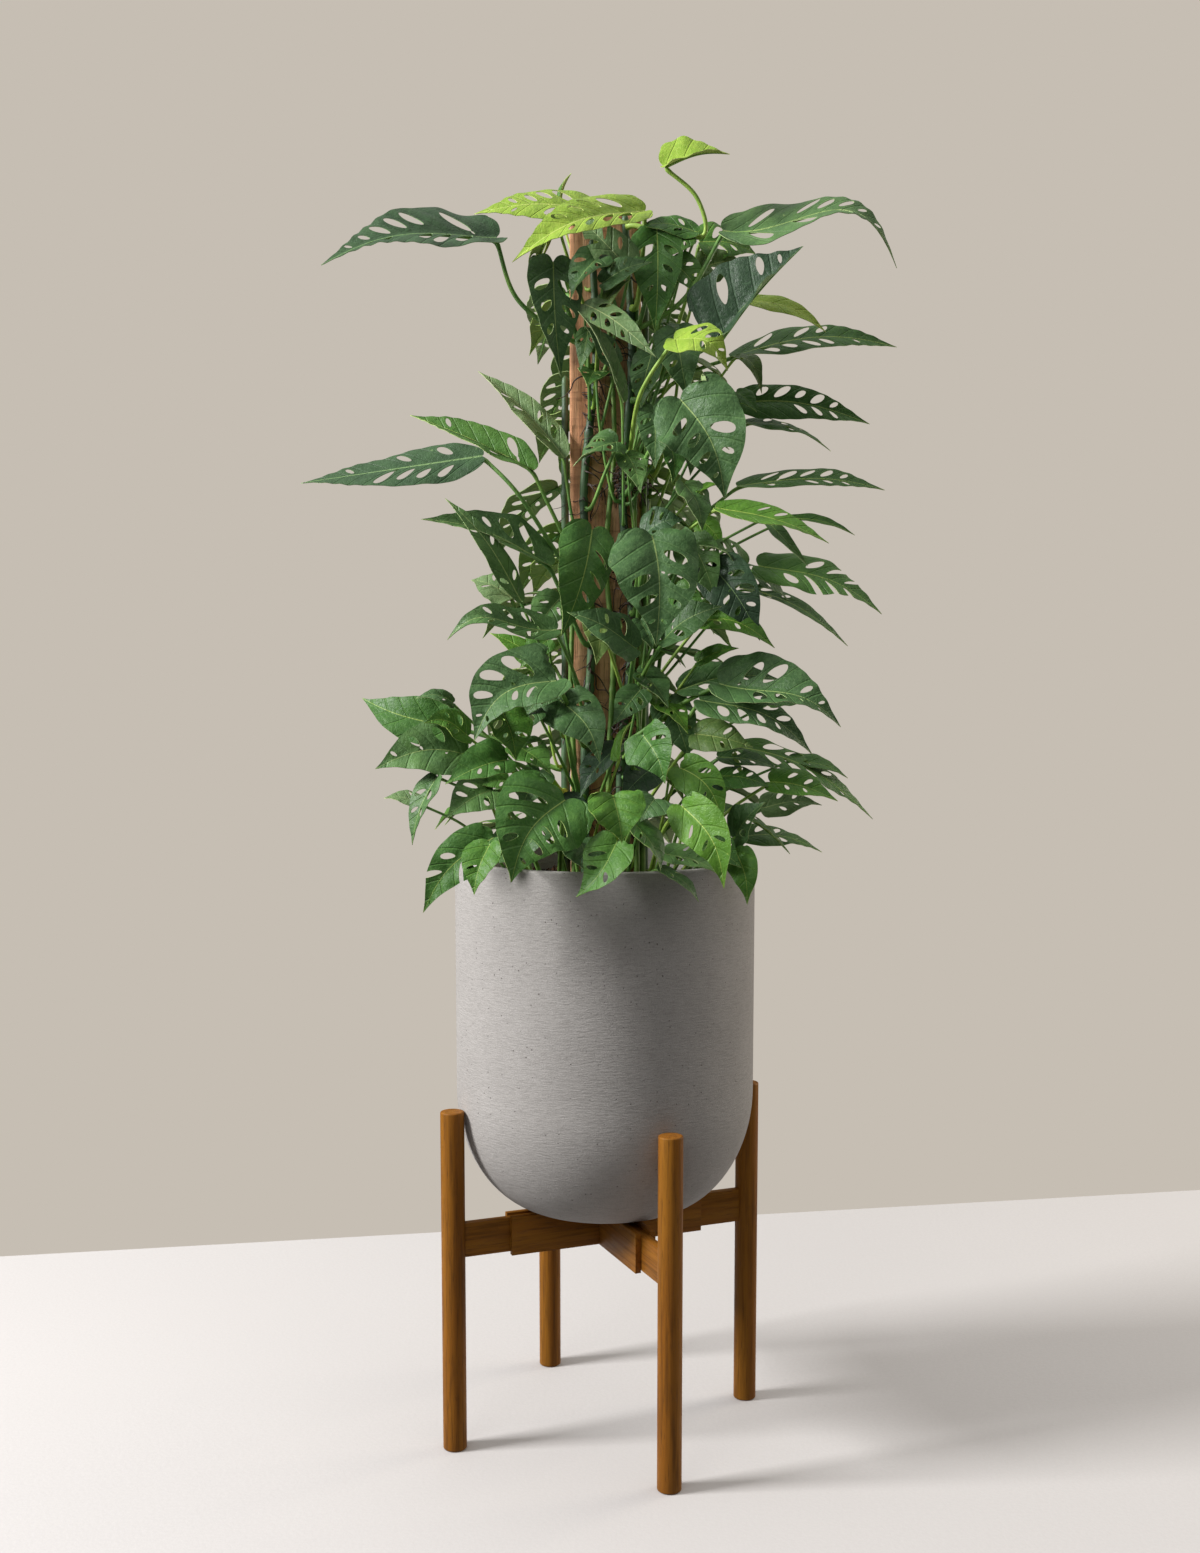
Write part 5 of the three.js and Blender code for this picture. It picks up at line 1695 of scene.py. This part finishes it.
    def build(self, bars: BarTree, stems: dict[str, np.ndarray], eye: Eye) -> None:
        """Builds every leaf.

        Args:
            bars: The tree that lays bars.
            stems: The line of each stem.
            eye: Where picture points are seen from.
        """
        skins = {tone: tone.value.make() for tone in Tone}
        young = BarkFinish("young_petiole", "A6C456", "7DA43E", "BFCF7E", 0.25).make()
        grown = BarkFinish("grown_petiole", "7CA64A", "52803C", "9DB068", 0.3).make()
        for number, leaf in enumerate([*LEAVES, *self.far_leaves()]):
            ends = (leaf.base, leaf.tip)
            base, tip = (np.array(p, float) if leaf.plain else eye.seen(p) for p in ends)
            blade = Blade(leaf, base, tip, 100 + number)
            points, faces, places, sharp = blade.shell()
            petiole = young if leaf.tone.pale_petiole else grown
            bar = bars.lay("petiole", [self.stalk(leaf, blade, stems, eye)], 8, petiole)
            bar_points = np.zeros(len(bar.data.vertices) * 3, np.float32)
            bar.data.vertices.foreach_get("co", bar_points)
            bar_faces = [tuple(v + len(points) for v in face.vertices) for face in bar.data.polygons]
            bpy.data.objects.remove(bar)
            slots = np.r_[np.zeros(len(faces)), np.ones(len(bar_faces))]
            every = np.vstack([points, bar_points.reshape(-1, 3) / MM])
            name = f"vine_leaf_{leaf.name}"
            piece = mesh_object(name, every, [*faces, *bar_faces], [skins[leaf.tone], petiole], slots)
            self.mark(piece.data, places, blade, sharp)
            nodes = [f"leaf_{leaf.name}"] if leaf.node else []
            settle(piece, POT_BODY, leaf.tone.slot, *nodes)

    @staticmethod
    def mark(mesh: bpy.types.Mesh, places: np.ndarray, blade: Blade, sharp: set) -> None:
        """Writes on a leaf's mesh what its finish reads, and which of its edges are sharp."""
        count = len(mesh.vertices)
        place = np.zeros((count, 3), np.float32)
        place[:len(places)] = places
        look = np.array([blade.rng.uniform(-0.5, 0.5), 1 / blade.pitch, blade.slant], np.float32)
        for label, values in (("place_on_leaf", place), ("leaf_look", np.tile(look, (count, 1)))):
            written = mesh.attributes.new(label, "FLOAT_VECTOR", "POINT")
            written.data.foreach_set("vector", values.ravel())
        ends = np.zeros(len(mesh.edges) * 2, np.int32)
        mesh.edges.foreach_get("vertices", ends)
        hard = np.array([frozenset(pair) in sharp for pair in ends.reshape(-1, 2).tolist()])
        mesh.attributes.new("sharp_edge", "BOOLEAN", "EDGE").data.foreach_set("value", hard)


@dataclass
class Studio:
    """The pale floor, the soft lights and the camera."""

    floor_reach: float = 2800.0
    floor_lines: int = 9
    floor_gap: float = 0.4
    floor_edge: tuple[float, float] = (657.0, 0.174)
    wall: str = "C6BEB3"
    soft: str = "F4F2EF"
    strengths: tuple[tuple[float, float], ...] = (
        (-1.0, 0.75), (-0.7, 0.32), (-0.3, 0.02), (0.0, 0.02), (0.5, 0.34), (0.8, 0.86), (1.0, 1.35),
    )

    def floor(self) -> None:
        """Lays a pale floor whose far edge runs as the photograph's does."""
        count = self.floor_lines
        xs, share = np.linspace(-self.floor_reach, self.floor_reach, count), np.linspace(0, 1, count)
        far = self.floor_edge[0] + self.floor_edge[1] * xs
        near = np.full(count, -self.floor_reach)
        points = [
            (x, n + (f - n) * s, -self.floor_gap) for s in share for x, n, f in zip(xs, near, far)
        ]
        firsts = [row * count + k for row in range(count - 1) for k in range(count - 1)]
        faces = [(a, a + 1, a + count + 1, a + count) for a in firsts]
        s = Shader("pale_floor")
        own = s.add("ShaderNodeTexCoord").outputs["Object"]
        speckle = s.noise(own, 0.004, 3, 0.6)
        clouds = s.noise(own, 0.5, 3, 0.5)
        colour = s.blend(s.step(speckle, 0.3, 0.7), "C5C2C1", "C1BEBD")
        colour = s.blend(s.step(clouds, 0.3, 0.7, 0, 0.5), colour, "C1BEBD")
        s.finish(colour, 0.7, s.bump(speckle, 0.0002))
        floor = mesh_object("pale_floor", np.array(points), faces, [s.material])
        floor.visible_diffuse = False

    def sweep(self, node: bpy.types.Node) -> None:
        """Writes the strength of the soft light at each height into a curve."""
        curve = node.mapping.curves[0]
        node.mapping.clip_min_x, node.mapping.clip_max_y = -1.0, 2.0
        for end, (height, strength) in zip((0, 1), (self.strengths[0], self.strengths[-1])):
            curve.points[end].location = (height, strength)
        for height, strength in self.strengths[1:-1]:
            curve.points.new(height, strength)
        node.mapping.update()

    def light(
        self, name: str, place: Triple, aim: Triple, size: float, power: float, colour: Triple,
    ) -> None:
        """Hangs one square soft light.

        Args:
            name: Its name.
            place: Where it hangs, in metres.
            aim: What it points at, in metres.
            size: The length of its side.
            power: Its power in watts.
            colour: Red, green and blue.
        """
        lamp = bpy.data.lights.new(name, "AREA")
        lamp.size, lamp.energy, lamp.color = size, power, colour
        holder = add_object(name, lamp)
        holder.visible_camera = False
        holder.location = place
        holder.rotation_euler = (Vector(aim) - Vector(place)).to_track_quat("-Z", "Y").to_euler()

    def camera(self, eye: Eye) -> None:
        """Sets up the camera at the photograph's viewpoint."""
        lens = bpy.data.cameras.new("camera")
        wide, high = eye.picture
        lens.sensor_width = 36.0
        lens.lens = eye.reach * lens.sensor_width / high
        lens.shift_x = (wide / 2 - eye.centre[0]) / high
        lens.shift_y = (eye.centre[1] - high / 2) / high
        lens.clip_start = 0.05
        holder = add_object("camera", lens)
        holder.location = [value * MM for value in eye.place]
        holder.rotation_euler = (math.pi / 2 - eye.pitch, 0, 0)
        bpy.context.scene.camera = holder

    def build(self, eye: Eye) -> None:
        """Sets the floor, the lights, the surroundings and the camera."""
        self.floor()
        self.light("key", (-3.33, -0.88, 2.7), (0, 0, 0.6), 1.05, 247, (1.0, 0.99, 0.98))
        self.light("rim", (2.7, 1.25, 1.2), (0, 0, 0.7), 1.4, 38, (1.0, 0.9, 0.76))
        self.light("front", (-1.2, -2.4, 2.4), (0, 0, 1.1), 1.0, 8, (1.0, 0.99, 0.96))
        world = bpy.data.worlds.new("surroundings")
        world.use_nodes = True
        sky = Graph(world.node_tree)
        wall = sky.add("ShaderNodeBackground", {"Color": shade(self.wall), "Strength": 1.0}).outputs[0]
        # The soft light from all round grows with the height that it comes from, and the
        # light off the floor with the depth
        way = sky.add("ShaderNodeTexCoord").outputs["Generated"]
        height = sky.add("ShaderNodeSeparateXYZ", {0: way}).outputs["Z"]
        ramp = sky.add("ShaderNodeFloatCurve", {"Value": height}).outputs[0]
        self.sweep(ramp.node)
        soft = sky.add("ShaderNodeBackground", {"Color": shade(self.soft), "Strength": ramp}).outputs[0]
        seen = sky.add("ShaderNodeLightPath").outputs["Is Camera Ray"]
        both = sky.add("ShaderNodeMixShader", {0: seen, 1: soft, 2: wall}).outputs[0]
        world.node_tree.links.new(both, world.node_tree.nodes["World Output"].inputs["Surface"])
        bpy.context.scene.world = world
        bpy.context.scene.view_settings.view_transform = "Standard"
        self.camera(eye)


def main() -> None:
    """Builds the stand, the pot, the earth, the stake, the vine and the studio."""
    logging.basicConfig(level=logging.INFO, format="%(name)s: %(message)s")
    eye = Eye()
    Studio().build(eye)
    Stand().build()
    planter = Planter()
    planter.build()
    Soil().build(planter, ScatterTree())
    Stake().build()
    bars = BarTree()
    stems = Vine().build(bars)
    Foliage().build(bars, stems, eye)


if __name__ == "__main__":
    main()
